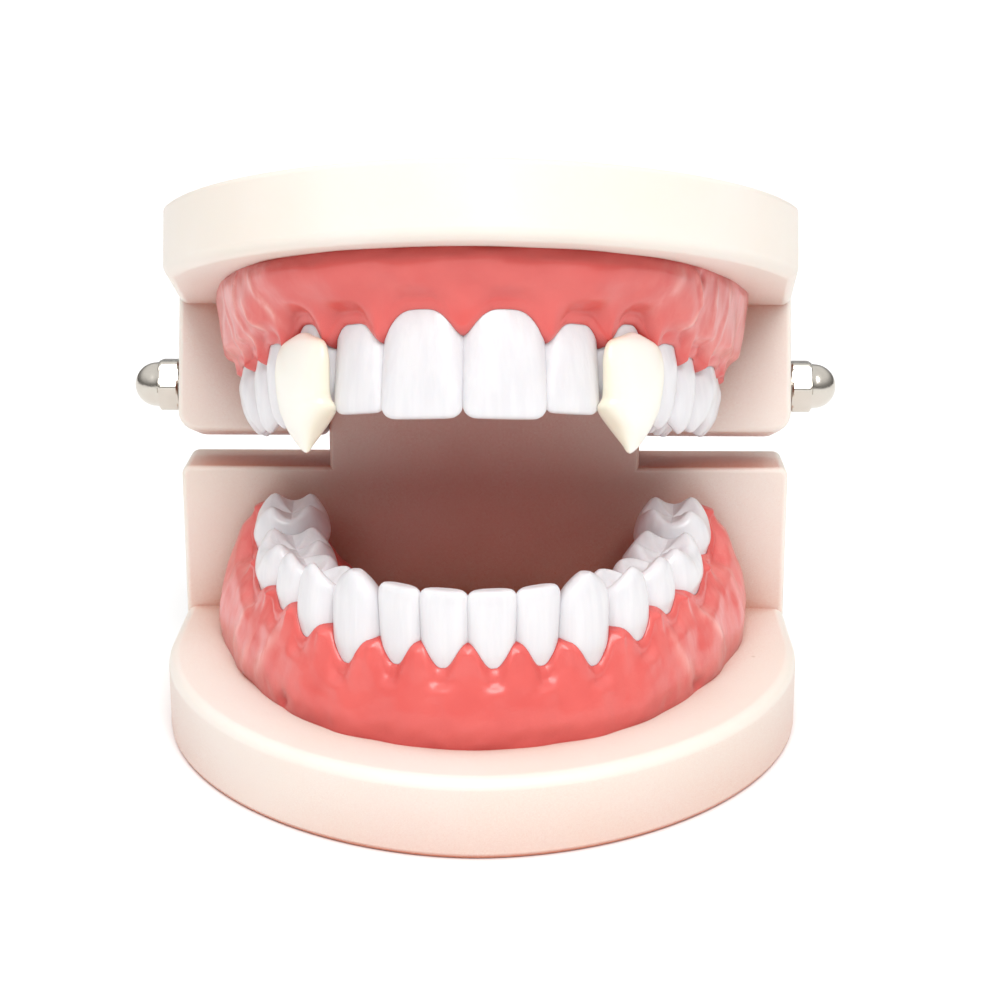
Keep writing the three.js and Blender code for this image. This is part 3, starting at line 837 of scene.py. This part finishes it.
FANG_LEVELS = Profile(("down", "width", "shift", "front", "back"), [
    (0, 0, -0.03, 0.36, 0.36),
    (0, 0.12, -0.03, 0.3, 0.42),
    (0.03, 0.426, -0.03, 0.22, 0.43),
    (0.095, 0.961, 0, 0.12, 0.46),
    (0.213, 1.135, 0, 0.04, 0.52),
    (0.355, 1.132, -0.012, 0, 0.58),
    (0.49, 1.075, -0.013, 0, 0.63),
    (0.565, 1.035, -0.02, 0.01, 0.72),
    (0.62, 1.06, 0, 0.02, 0.8),
    (0.68, 0.965, -0.02, 0.06, 0.86),
    (0.8, 0.6, -0.077, 0.14, 0.82),
    (0.93, 0.265, -0.093, 0.33, 0.62),
    (0.985, 0.1, -0.075, 0.42, 0.54),
    (1, 0, -0.075, 0.48, 0.48),
])


@dataclass(frozen=True)
class Tooth:
    """One tooth's sizes in millimetres and its middle along the half arch."""

    name: str
    crown: Crown
    width: float
    middle: float
    tip: float
    neck: float
    thick: float
    face: float
    flare: float
    papilla: float

    def surface(self, gap: float, grow: float = 0.0) -> Callable[[float, float], Point]:
        """The tooth's surface in its own frame: X along the arch, Y outwards, Z towards the tip.

        Args:
            gap: The space to its neighbours.
            grow: How far the surface is moved outwards.

        Returns:
            A function for mapped_grid.
        """
        cusps, levels = CROWN_LEVELS[self.crown]
        root_floor = 2.0
        crown = self.tip - self.neck
        root = self.neck - root_floor
        taper = 0.2
        groove_depth, groove_width = 0.05 * self.width, 0.16

        def place(turn: float, rise: float) -> Point:
            level = levels.at(rise)
            angle = turn * 2 * math.pi
            x, y = superellipse(angle, level["square"])
            inner = max(0.0, -y)
            front = level["front"] * self.thick - self.face - grow
            back = level["back"] * self.thick - self.face + grow
            depth = lerp(-(front + back) / 2, -front if y > 0 else -back, abs(y))
            half = level["width"] * (self.width - gap) / 2 + grow
            height = self.neck + level["up"] * (root if level["up"] < 0 else crown)
            height += level["relief"] * crown * cusp_rise(cusps, angle, inner)
            if cusps == 4:
                groove = bell(angle - math.pi / 2, groove_width) * smoothstep(level["up"], 0.3, 0.7)
                depth -= groove_depth * groove
            return Vector((half * x * (1 - taper * inner), depth, height)), Vector()

        return place

    def skin(self, gap: float, x: float, height: float, outside: bool) -> float:
        """How far the crown's surface stands outside the arch.

        Args:
            gap: The space to its neighbours.
            x: A place along the tooth.
            height: A height on it.
            outside: Whether the outer surface is meant, or the inner one.

        Returns:
            The surface's Y in the tooth's own frame.
        """
        least_bulge, top_share = 0.32, 0.8
        share = clamp((height - self.neck) / (self.tip - self.neck), 0, top_share)
        level = CROWN_LEVELS[self.crown][1].where("up", share)
        front = self.face - level["front"] * self.thick
        back = self.face - level["back"] * self.thick
        ratio = min(1.0, abs(x) / (level["width"] * (self.width - gap) / 2))
        bulge = (1 - ratio ** level["square"]) ** (1 / level["square"])
        return lerp((front + back) / 2, front if outside else back, max(bulge, least_bulge))


def superellipse(angle: float, power: float) -> tuple[float, float]:
    """A point of the unit superellipse at an angle."""
    sine, cosine = math.sin(angle), math.cos(angle)
    return (math.copysign(abs(cosine) ** (2 / power), cosine), math.copysign(abs(sine) ** (2 / power), sine))


def cusp_rise(cusps: int, angle: float, inner: float) -> float:
    """How far the biting edge rises at an angle round the crown.

    Args:
        cusps: The number of cusps: none, two or four.
        angle: The angle round the crown.
        inner: How far the place lies on the inner side, from 0 to 1.

    Returns:
        From -1 in the grooves to 1 on the cusps, with a lower inner cusp where there are two.
    """
    if cusps == 0:
        return 0.0
    inner_loss, inner_drop = 0.45, 0.5
    place = angle * cusps / (2 * math.pi) - 0.5
    slant = 1 - 4 * abs(place - round(place))
    rise = lerp(slant, math.sin(slant * math.pi / 2), 0.5)
    return rise * (1 - inner_loss * inner) - inner_drop * inner if cusps == 2 else rise


@dataclass(frozen=True)
class Inside:
    """The floor or palate inside an arch, as shares of the reach and of the arch's half width."""

    floor: float
    foot: float
    slope: float
    dip: float
    slope_run: float
    foot_run: float
    middle_run: float


@dataclass(frozen=True)
class Crease:
    """A fold or streak on a gum's outer face, in millimetres along the arch and up.

    Height is how far it stands out, or lies in where negative, where it takes painted shade. Width is how far
    it spreads, and pale is how much painted highlight runs along it.
    """

    start: tuple[float, float]
    end: tuple[float, float]
    height: float
    width: float
    pale: float = 0.8

    def share(self, along: float, up: float) -> float:
        """How much of the fold is felt at a place on the gum."""
        (ax, ay), (bx, by) = self.start, self.end
        run_x, run_y = bx - ax, by - ay
        run = clamp(((along - ax) * run_x + (up - ay) * run_y) / (run_x * run_x + run_y * run_y))
        gap = math.hypot(along - ax - run * run_x, up - ay - run * run_y)
        end_share = 0.15
        return bell(gap, self.width) * math.sin(math.pi * lerp(end_share, 1 - end_share, run))


# The gum's outer face, from its foot up: shares of the flare, of the lean and of the root bulge, and of the
# height to the calm line below the scallops
FACE_ROWS = (
    (1.0, 0.3, 0, 0.13),
    (1.02, 1, 0, 0.35),
    (0.9, 1, 0.5, 0.58),
    (0.64, 0.5, 1, 0.8),
    (0.38, 0, 1, 1),
)
# The rolled margin outside the teeth: millimetres out, share of the papilla's puff, millimetres below
COLLAR_ROWS = (
    (0.78, 1, 1.3),
    (0.62, 1, 0.75),
    (0.34, 0.6, 0.22),
    (0.02, 0, 0),
)
# The gum's ripples: millimetres high, how many to a millimetre
RIPPLE_ROWS = (
    (0.3, 0.16),
    (0.1, 0.55),
)
# The margin inside the teeth: millimetres out, millimetres below
INNER_ROWS = (
    (0.35, 0.3),
    (-0.02, 0),
    (-0.36, 0.12),
    (-0.7, 0.7),
)


@dataclass(frozen=True)
class Dentition:
    """A jaw's gum, teeth and fang caps on one elliptic arch.

    Each tooth's row holds its name and crown, then its width as a share of the half arch, its tip, neck and
    papilla as shares of the reach, its thickness and face as shares of its width, and the gum's flare as a
    share of the arch's half width.
    """

    name: str
    body: Body
    place: Matrix
    half_width: float
    depth: float
    end: float
    reach: float
    skew: float
    papilla_power: float
    inside: Inside
    rows: tuple
    creases: tuple[Crease, ...] = ()
    wears_fangs: bool = False
    papilla_span: tuple[float, float] = (0.0, 1.0)
    rear_rise: float = 0.0
    side_pale: float = 0.35
    tooth_gap: float = -0.25
    calm: float = 2.3
    lean: float = 0.0
    root_bulge: float = 0.25
    roll: float = 0.75
    pad: float = 2.0

    @property
    def frame(self) -> Matrix:
        """From the arch's plan, turned on its plate, to the part's frame."""
        pivot = Matrix.Translation((0, self.end, 0))
        return self.place @ pivot @ Matrix.Rotation(self.skew, 4, "Z") @ pivot.inverted()

    @cached_property
    def arc(self) -> tuple[list[float], list[float]]:
        """The arch's angles from the midline to its right end, and the distance run at each."""
        steps = 1200
        angles = [math.pi / 2 * step / steps for step in range(steps + 1)]
        runs = [0.0]
        for a, b in zip(angles, angles[1:]):
            step_x = self.half_width * (math.sin(b) - math.sin(a))
            step_y = self.depth * (math.cos(b) - math.cos(a))
            runs.append(runs[-1] + math.hypot(step_x, step_y))
        return angles, runs

    @property
    def half_arch(self) -> float:
        """The length of half the arch."""
        return self.arc[1][-1]

    def arch(self, distance: float) -> tuple[Vector, Vector]:
        """A place on the arch.

        Args:
            distance: From the midline, positive to the right.

        Returns:
            The point and its outward normal.
        """
        angles, runs = self.arc
        run = clamp(abs(distance), 0, runs[-1])
        index = max(1, bisect_left(runs, run))
        share = (run - runs[index - 1]) / (runs[index] - runs[index - 1])
        angle = lerp(angles[index - 1], angles[index], share)
        side = math.copysign(1, distance)
        point = Vector((side * self.half_width * math.sin(angle), self.end - self.depth * math.cos(angle), 0))
        normal = Vector((side * self.depth * math.sin(angle), -self.half_width * math.cos(angle), 0))
        return point, normal.normalized()

    @cached_property
    def teeth(self) -> list[Tooth]:
        """The teeth of one side, from the midline to the rear."""
        start, found = 0.0, []
        for name, crown, width, tip, neck, thick, face, flare, papilla in self.rows:
            size = width * self.half_arch
            found.append(Tooth(name, crown, size, start + size / 2, tip * self.reach, neck * self.reach,
                               thick * size, face * size, flare * self.half_width, papilla * self.reach))
            start += size
        return found

    def tooth_frame(self, tooth: Tooth, side: Side) -> Matrix:
        """From a tooth's own frame to the arch's plan."""
        point, normal = self.arch(side.value * tooth.middle)
        return Matrix.Translation(point) @ Matrix.Rotation(math.atan2(-normal.x, normal.y), 4, "Z")

    def build(self) -> None:
        """Builds, dresses and attaches the gum, the teeth and the fang caps."""
        gum = make_piece(f"gum_{self.name}", self.gum_shape(), self.frame, GUM.material())
        attach(gum, self.body, Slot.GUM, f"{self.name}_gum")
        for side in Side:
            for tooth in self.teeth:
                self.build_tooth(tooth, side)
            if self.wears_fangs:
                self.build_fang(side)

    def build_tooth(self, tooth: Tooth, side: Side) -> None:
        """Builds one tooth."""
        shape = mapped_grid(44, 40, tooth.surface(self.tooth_gap))
        frame = self.frame @ self.tooth_frame(tooth, side)
        piece = make_piece(f"{tooth.name}_{self.name}_{side.word}", shape, frame, TOOTH.material())
        attach(piece, self.body, Slot.TOOTH, f"{self.name}_{side.word}_{tooth.name}")

    def build_fang(self, side: Side) -> None:
        """Builds the cap over one side's canine."""
        canine = next(tooth for tooth in self.teeth if tooth.crown is Crown.CANINE)
        cap = FangCap(canine, side)
        frame = self.frame @ self.tooth_frame(canine, side)
        piece = make_piece(f"fang_{side.word}", cap.shape(), frame, IVORY.material())
        hollow = mapped_grid(36, 30, canine.surface(self.tooth_gap, cap.fit))
        cut_or_join(piece, make_piece("hollow", hollow, frame, IVORY.material()), "DIFFERENCE")
        attach(piece, self.body, Slot.FANG, f"fang_cap_{side.word}")

    def blend(self, run: float, column: str) -> float:
        """A size of the teeth at a run along the half arch, blended between the teeth's middles."""
        teeth = self.teeth
        after = next((i for i, tooth in enumerate(teeth) if tooth.middle > run), len(teeth))
        if after == 0:
            return getattr(teeth[0], column)
        if after == len(teeth):
            return getattr(teeth[-1], column)
        a, b = teeth[after - 1], teeth[after]
        return lerp(getattr(a, column), getattr(b, column), smoothstep(run, a.middle, b.middle))

    def tooth_index(self, run: float) -> int:
        """Which tooth stands at a run along the half arch."""
        ends = [tooth.middle + tooth.width / 2 for tooth in self.teeth]
        return next((index for index, end in enumerate(ends) if run <= end), len(ends) - 1)

    def tooth_skin(self, tooth: Tooth, run: float, height: float, outside: bool) -> float:
        """How far outside the arch one tooth's surface lies.

        Args:
            tooth: The tooth.
            run: A run along the half arch.
            height: A height above the plate.
            outside: Whether the outer surface is meant, or the inner one.

        Returns:
            The offset from the arch.
        """
        point, normal = self.arch(run)
        middle, facing = self.arch(tooth.middle)
        along = Vector((facing.y, -facing.x, 0))
        offset, tries = 0.0, 4
        for _ in range(tries):
            there = point + normal * offset - middle
            offset += tooth.skin(self.tooth_gap, there.dot(along), height, outside) - there.dot(facing)
        return offset

    def skin(self, run: float, height: float, outside: bool) -> float:
        """How far outside the arch the row of teeth lies, blended where two of them meet."""
        index = self.tooth_index(run)
        tooth = self.teeth[index]
        blend_start = 0.75
        across = (run - tooth.middle) / (tooth.width / 2)
        own = self.tooth_skin(tooth, run, height, outside)
        share = 0.5 * smoothstep(abs(across), blend_start, 1)
        other = index + (1 if across > 0 else -1)
        if share == 0 or not 0 <= other < len(self.teeth):
            return own
        return lerp(own, self.tooth_skin(self.teeth[other], run, height, outside), share)

    def scallop(self, across: float) -> float:
        """How far the margin climbs between two teeth, rounded at both ends, from 0 to 1."""
        return smoothstep(across ** self.papilla_power, *self.papilla_span)

    def section(self, distance: float) -> list[Vector]:
        """The gum's section at a distance along the arch, from the outer foot to the middle.

        Args:
            distance: From the midline, positive to the right, and past the arch's end on the pads.

        Returns:
            Its control points.
        """
        side = 1 if distance >= 0 else -1
        lean_start, lean_end, puff_start = 0.35, 0.75, 0.5
        rear_kept, tucked, below_rim = 0.9, 0.35, 0.3
        run = min(abs(distance), self.half_arch)
        past = clamp((abs(distance) - self.half_arch) / self.pad)
        point, normal = self.arch(run)
        tooth = self.teeth[self.tooth_index(run)]
        across = clamp(abs(run - tooth.middle) / (tooth.width / 2))
        neck, papilla = self.blend(run, "neck"), self.blend(run, "papilla")
        last = self.teeth[-1]
        rear = self.rear_rise * smoothstep(run, last.middle, last.middle + last.width / 2)
        margin = neck + papilla * self.scallop(across) + rear
        even = neck + rear - self.calm
        face = self.blend(run, "face")
        back = self.blend(run, "thick") - face
        rolled = face + self.roll
        flare = self.blend(run, "flare")
        inside = self.inside
        floor = inside.floor * self.reach
        inner = margin * (1 - inside.dip * across) - rear_kept * rear
        hug = self.skin(run, margin - below_rim, True)
        deep = self.skin(run, inner - below_rim, False)
        puff = smoothstep(across, puff_start, 1) * max(0.0, face - tucked - hug)
        fade = math.sqrt(max(0.0, 1 - past ** 3))
        first_middle = self.end - self.depth + back + inside.middle_run * self.half_width
        middle_y = lerp(first_middle, self.end, run / self.half_arch)
        root = self.root_bulge * math.cos(math.pi * across)
        lean = self.lean * smoothstep(run / self.half_arch, lean_start, lean_end)

        def at(offset: float, height: float) -> Vector:
            """The point at an offset from the arch and a height."""
            x = side * (point.x + normal.x * offset)
            return Vector((x, point.y + normal.y * offset + past * self.pad, height * fade))

        sunk, foot_flare = 0.1, 0.95
        joining = lerp(hug + puff + 0.6, lerp(rolled, flare, 0.2), 0.6) + 0.5 * root
        face_rows = [
            at(lerp(rolled, flare, flare_share - lean_share * lean) + root_share * root, up * even)
            for flare_share, lean_share, root_share, up in FACE_ROWS
        ]
        return [
            at(lerp(rolled, flare, foot_flare), -sunk),
            *face_rows,
            at(joining, lerp(even, margin - 1.2, 0.55)),
            *(at(hug + puffed * puff + out, margin - below) for out, puffed, below in COLLAR_ROWS),
            at(hug - tucked, margin - below_rim),
            at((hug + deep) / 2, lerp(margin, inner, 0.5) - 0.6),
            *(at(deep + out, inner - below) for out, below in INNER_ROWS),
            at(-back - inside.slope_run * self.half_width, lerp(floor, inner, inside.slope)),
            at(-back - inside.foot_run * self.half_width, floor * inside.foot),
            Vector((0, middle_y + past * self.pad, floor * fade)),
        ]

    def gum_shape(self) -> bmesh.types.BMesh:
        """The gum as one closed shape: both halves of the ridge with the floor or palate between."""
        whole = self.half_arch + self.pad
        columns, rows = 460, 80
        foot_end, collar_start, collar_end = 1.2, 5.5, 8.0
        side_start, side_end = 0.2, 0.65
        distances = [lerp(-whole, whole, column / columns) for column in range(columns + 1)]
        sections = [self.section(distance) for distance in distances]

        def place(turn: float, rise: float) -> Point:
            """A point of the gum, with how pale it is and how much painted shade it takes there."""
            column = round(turn * columns)
            distance, section = distances[column], sections[column]
            position = rise * (len(section) - 1)
            index = min(int(position), len(section) - 2)
            point = spline(section, index, position - index)
            outer = smoothstep(position, 0, foot_end) * (1 - smoothstep(position, collar_start, collar_end))
            _, normal = self.arch(clamp(distance, -self.half_arch, self.half_arch))
            felt = [(crease, crease.share(distance, point.z)) for crease in self.creases]
            fold = sum(crease.height * share for crease, share in felt)
            ripple = sum(height * noise.noise(point * scale) for height, scale in RIPPLE_ROWS)
            away = smoothstep(abs(distance) / self.half_arch, side_start, side_end)
            # Pale: painted highlight along the raised folds, and a paler tone towards the sides
            pale = sum(crease.pale * share for crease, share in felt) + self.side_pale * away
            # Hollow: painted shade in the creases that lie in
            hollow = sum(share for crease, share in felt if crease.height < 0)
            point += normal * outer * (fold + ripple)
            return point, Vector((clamp(pale) * outer, clamp(hollow) * outer, 0))

        bm = mapped_grid(columns, rows, place)
        rim = [edge for edge in bm.edges if edge.is_boundary]
        bmesh.ops.triangle_fill(bm, edges=rim, use_beauty=True)
        return bm


@dataclass(frozen=True)
class FangCap:
    """A cap over a canine, with its point below it."""

    canine: Tooth
    side: Side
    length: float = 13.0
    width: float = 8.2
    thickness: float = 5.0
    wall: float = 1.45
    fit: float = 0.12
    clearance: float = 0.3
    below_gum: float = 0.9
    turn: float = math.radians(3)
    squareness: float = 2.5

    def shape(self) -> bmesh.types.BMesh:
        """The cap's outer form in the canine's frame."""
        top = self.canine.neck + self.below_gum
        face = self.canine.face + self.clearance + self.wall
        edge_start, front_start, front_end, front_share = 0.35, 0.2, 0.9, 0.5
        middle = Vector((0, self.canine.face - self.canine.thick / 2, 0))
        turned = Matrix.Rotation(-self.side.value * self.turn, 3, "Z")

        def place(turn: float, rise: float) -> Point:
            """A point of the cap, with how near it is to the cap's side edges."""
            level = FANG_LEVELS.at(rise)
            angle = turn * 2 * math.pi
            x, y = superellipse(angle, self.squareness)
            front = level["front"] * self.thickness - face
            back = level["back"] * self.thickness - face
            depth = lerp(-(front + back) / 2, -front if y > 0 else -back, abs(y))
            across = level["width"] * self.width / 2 * x + level["shift"] * self.width * self.side.value
            point = Vector((across, depth, top + level["down"] * self.length))
            # The edge mark carries the painted shade at the cap's side edges, less on its front
            facing = front_share * smoothstep(y, front_start, front_end)
            edge = smoothstep(abs(x), edge_start, 1.0) * (1 - facing)
            return turned @ (point - middle) + middle, Vector((clamp(edge), 0, 0))

        return mapped_grid(56, 64, place)


@dataclass(frozen=True)
class HingeHardware:
    """The acorn nuts on the hinge bolt."""

    sizes: BaseSizes = field(default_factory=BaseSizes)
    flats: float = 6.2
    hex_thickness: float = 2.6
    dome_radius: float = 2.8
    height: float = 5.8
    seat_gap: float = 0.3
    twist: float = math.radians(12)
    corner_limit: float = 1.13
    chamfer_slope: float = 1.8
    chamfer_top: float = 0.98
    chamfer_foot: float = 1.02
    dome_lip: float = 0.12

    def build(self) -> None:
        """Builds both nuts."""
        for side in Side:
            reach = side.value * (self.sizes.half_width + self.seat_gap)
            seat = Matrix.Translation((reach, self.sizes.hinge_setback, self.sizes.hinge_drop))
            turn = Matrix.Rotation(side.value * math.pi / 2, 4, "Y")
            twist = Matrix.Rotation(-side.value * self.twist, 4, "Z")
            place = self.sizes.upper_place @ seat @ turn @ twist
            shape = mapped_grid(120, 60, self.surface)
            piece = make_piece(f"acorn_nut_{side.word}", shape, place, STEEL.material())
            attach(piece, Body.UPPER, Slot.STEEL, f"nut_{side.word}")

    def surface(self, turn: float, rise: float) -> Point:
        """The nut's surface on the Z axis, its hexagon at the bottom and its dome at the top."""
        angle = turn * 2 * math.pi
        apothem = self.flats / 2
        sector = math.pi / 3
        corner = apothem / math.cos((angle + sector / 2) % sector - sector / 2)
        corner = min(corner, apothem * self.corner_limit)
        stage = rise * 4
        dome_stage, dome_foot = 2.4, 0.1
        if stage < 1:
            radius, height = min(corner, apothem * self.chamfer_foot) * stage, 0.0
        elif stage < dome_stage:
            height = self.hex_thickness * min(stage - 1, 1.0)
            inwards = max(0.0, stage - 2) / (dome_stage - 2)
            cone_top = (self.hex_thickness - height) * self.chamfer_slope + apothem * self.chamfer_top
            cone_foot = height * self.chamfer_slope + apothem * self.chamfer_foot
            radius = min(lerp(corner, self.dome_radius + self.dome_lip, inwards), cone_top, cone_foot)
        else:
            share = (stage - dome_stage) / (4 - dome_stage)
            straight = self.height - self.dome_radius
            bend = clamp((share - dome_foot) / (1 - dome_foot)) * math.pi / 2
            neck = clamp(share / dome_foot)
            radius = self.dome_radius * math.cos(bend) + self.dome_lip * (1 - neck)
            height = lerp(self.hex_thickness, straight, neck) + self.dome_radius * math.sin(bend)
        return Vector((radius * math.cos(angle), radius * math.sin(angle), height)), Vector()


def lower_dentition(sizes: BaseSizes) -> Dentition:
    """The lower jaw's arch."""
    return Dentition(
        "lower", Body.LOWER, sizes.lower_place, half_width=23.8, depth=40.0,
        end=sizes.depth - sizes.block_depth - 4.6, reach=17.3, skew=math.radians(-1.2), papilla_power=1.0,
        inside=Inside(0.17, 1.15, 0.45, 0.12, 0.1, 0.19, 0.3),
        rows=(
            ("central_incisor", Crown.INCISOR, 0.103, 1, 0.5, 1.1, 0.24, 0.125, 0.16),
            ("lateral_incisor", Crown.INCISOR, 0.101, 0.995, 0.485, 1.12, 0.26, 0.145, 0.16),
            ("canine", Crown.CANINE, 0.128, 1.035, 0.43, 1.05, 0.42, 0.2, 0.18),
            ("first_premolar", Crown.PREMOLAR, 0.13, 0.975, 0.5, 1.08, 0.53, 0.235, 0.15),
            ("second_premolar", Crown.PREMOLAR, 0.132, 0.93, 0.56, 1.12, 0.54, 0.265, 0.11),
            ("first_molar", Crown.MOLAR, 0.204, 0.905, 0.54, 0.94, 0.44, 0.315, 0.08),
            ("second_molar", Crown.MOLAR, 0.19, 0.99, 0.65, 0.98, 0.47, 0.375, 0.07),
        ),
        papilla_span=(0.07, 0.94),
        rear_rise=3.1,
        root_bulge=0.08,
        side_pale=0.25,
        creases=(
            Crease((-27.5, 1.5), (-24.5, 8.0), 0.12, 0.8, 0.6),
            Crease((-36.0, 2.0), (-33.5, 8.0), 0.15, 0.7, 0.6),
            Crease((-31.0, 1.0), (-30.0, 5.0), 0.1, 0.8, 0.4),
            Crease((27.0, 1.5), (24.5, 8.0), 0.12, 0.8, 0.5),
            Crease((36.5, 2.0), (32.5, 8.5), 0.18, 0.6, 0.7),
            Crease((-21.5, -0.2), (-21.0, 1.5), -0.7, 0.7, 0.0),
            Crease((29.0, -0.2), (28.0, 1.2), -0.6, 0.9, 0.0),
        ),
    )


def upper_dentition(sizes: BaseSizes) -> Dentition:
    """The upper jaw's arch, with the fang caps and the folds at its premolars and molars."""
    return Dentition(
        "upper", Body.UPPER, sizes.upper_place, half_width=25.6, depth=41.5,
        end=sizes.depth - sizes.block_depth - 4.4, reach=17.4, skew=math.radians(-1.7), papilla_power=1.9,
        inside=Inside(0.2, 1.15, 0.5, 0.12, 0.12, 0.32, 0.36),
        wears_fangs=True,
        lean=0.2,
        rows=(
            ("central_incisor", Crown.INCISOR, 0.165, 1, 0.345, 0.74, 0.17, 0.19, 0.16),
            ("lateral_incisor", Crown.INCISOR, 0.131, 0.955, 0.41, 0.83, 0.18, 0.235, 0.15),
            ("canine", Crown.CANINE, 0.122, 0.93, 0.385, 1.05, 0.34, 0.26, 0.15),
            ("first_premolar", Crown.PREMOLAR, 0.122, 1, 0.48, 1.3, 0.5, 0.255, 0.12),
            ("second_premolar", Crown.PREMOLAR, 0.118, 1.01, 0.53, 1.32, 0.48, 0.245, 0.09),
            ("first_molar", Crown.MOLAR, 0.176, 1, 0.55, 1.08, 0.41, 0.25, 0.07),
            ("second_molar", Crown.MOLAR, 0.162, 0.98, 0.57, 1.1, 0.41, 0.27, 0.06),
        ),
        creases=(
            Crease((24.5, 0.4), (27.0, 4.0), 0.35, 0.35, 1.0),
            Crease((27.0, 4.0), (25.5, 8.0), 0.22, 0.4, 0.9),
            Crease((30.5, 0.5), (31.5, 6.0), 0.2, 0.5, 0.6),
            Crease((35.5, 1.0), (35.0, 8.5), 0.25, 0.7, 0.6),
            Crease((22.0, 0.5), (21.0, 5.0), 0.1, 0.7, 0.5),
            Crease((26.3, 0.2), (26.8, 1.6), -0.35, 0.6, 0.0),
            Crease((-27.5, 0.3), (-30.0, 4.5), 0.35, 0.3, 1.0),
            Crease((-23.5, 0.8), (-21.5, 7.5), 0.15, 0.5, 0.8),
            Crease((-26.5, 3.5), (-24.5, 8.5), 0.22, 0.45, 0.8),
            Crease((-30.5, 4.5), (-28.5, 8.5), 0.2, 0.5, 0.7),
            Crease((-36.0, 1.0), (-35.0, 8.5), 0.25, 0.7, 0.6),
        ),
    )


@dataclass(frozen=True)
class Studio:
    """The floor, the soft lights and the camera."""

    camera_place: tuple[float, float, float] = (0.00576, -0.24575, 0.1024)
    camera_turn: tuple[float, float, float] = (math.pi / 2 - 0.285, 0.0, 0.014)
    lens: float = 79.3
    sensor_width: float = 36.0
    clip_start: float = 0.01
    floor_size: float = 6.0
    floor_colour: Colour = (0.95, 0.95, 0.95)
    floor_roughness: float = 0.7
    sun_height: float = math.radians(50)
    sun_swing: float = math.radians(7)
    sun_spread: float = math.radians(36)
    sun_strength: float = 2.0
    horizon: Colour = (0.16, 0.155, 0.15)
    zenith: Colour = (0.95, 0.95, 0.95)
    backdrop: Colour = (1.0, 1.0, 1.0)
    sky_span: tuple[float, float] = (0.05, 0.7)

    def build(self) -> None:
        """Builds the studio round the model."""
        self.build_floor()
        self.build_world()
        self.add_sun()
        data = bpy.data.cameras.new("camera")
        data.lens = self.lens
        data.sensor_width = self.sensor_width
        data.clip_start = self.clip_start
        camera = bpy.data.objects.new("camera", data)
        camera.location = self.camera_place
        camera.rotation_euler = self.camera_turn
        bpy.context.scene.collection.objects.link(camera)
        bpy.context.scene.camera = camera
        bpy.context.scene.view_settings.view_transform = "Standard"

    def build_floor(self) -> None:
        """Adds the plain pale floor."""
        bm = bmesh.new()
        bmesh.ops.create_grid(bm, x_segments=2, y_segments=2, size=self.floor_size / 2)
        mesh = bpy.data.meshes.new("floor")
        bm.to_mesh(mesh)
        bm.free()
        material = bpy.data.materials.new("pale_floor")
        material.use_nodes = True
        shader = material.node_tree.nodes["Principled BSDF"]
        shader.inputs["Base Color"].default_value = (*self.floor_colour, 1)
        shader.inputs["Roughness"].default_value = self.floor_roughness
        mesh.materials.append(material)
        floor = bpy.data.objects.new("floor", mesh)
        bpy.context.scene.collection.objects.link(floor)

    def build_world(self) -> None:
        """Lights the scene from a sky, bright overhead and dim at the horizon, before a white backdrop."""
        world = bpy.data.worlds.new("studio")
        world.use_nodes = True
        sheet = NodeSheet(world.node_tree)
        toward = sheet.add("ShaderNodeTexCoord").outputs["Generated"]
        height = sheet.add("ShaderNodeSeparateXYZ", {0: toward}).outputs[2]
        sky = sheet.mix(sheet.ramp(height, *self.sky_span), self.horizon, self.zenith)
        seen = sheet.add("ShaderNodeLightPath").outputs["Is Camera Ray"]
        background = sheet.add("ShaderNodeBackground", {"Color": sheet.mix(seen, sky, self.backdrop)})
        sheet.add("ShaderNodeOutputWorld", {"Surface": background.outputs[0]})
        bpy.context.scene.world = world

    def add_sun(self) -> None:
        """Adds an even, soft light from above and before the model, a little to its right."""
        data = bpy.data.lights.new("overhead", "SUN")
        data.energy = self.sun_strength
        data.angle = self.sun_spread
        light = bpy.data.objects.new("overhead", data)
        light.rotation_euler = (math.pi / 2 - self.sun_height, 0, self.sun_swing)
        bpy.context.scene.collection.objects.link(light)


def main() -> None:
    """Loads the frame and dresses the model."""
    logging.basicConfig(level=logging.INFO)
    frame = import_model()
    sizes = BaseSizes()
    Studio().build()
    Bases(sizes).build()
    lower_dentition(sizes).build()
    upper_dentition(sizes).build()
    HingeHardware(sizes).build()
    bolt = frame["nodes"]["hinge_bolt"]
    bolt.material_slots[0].material = STEEL.material()


if __name__ == "__main__":
    main()
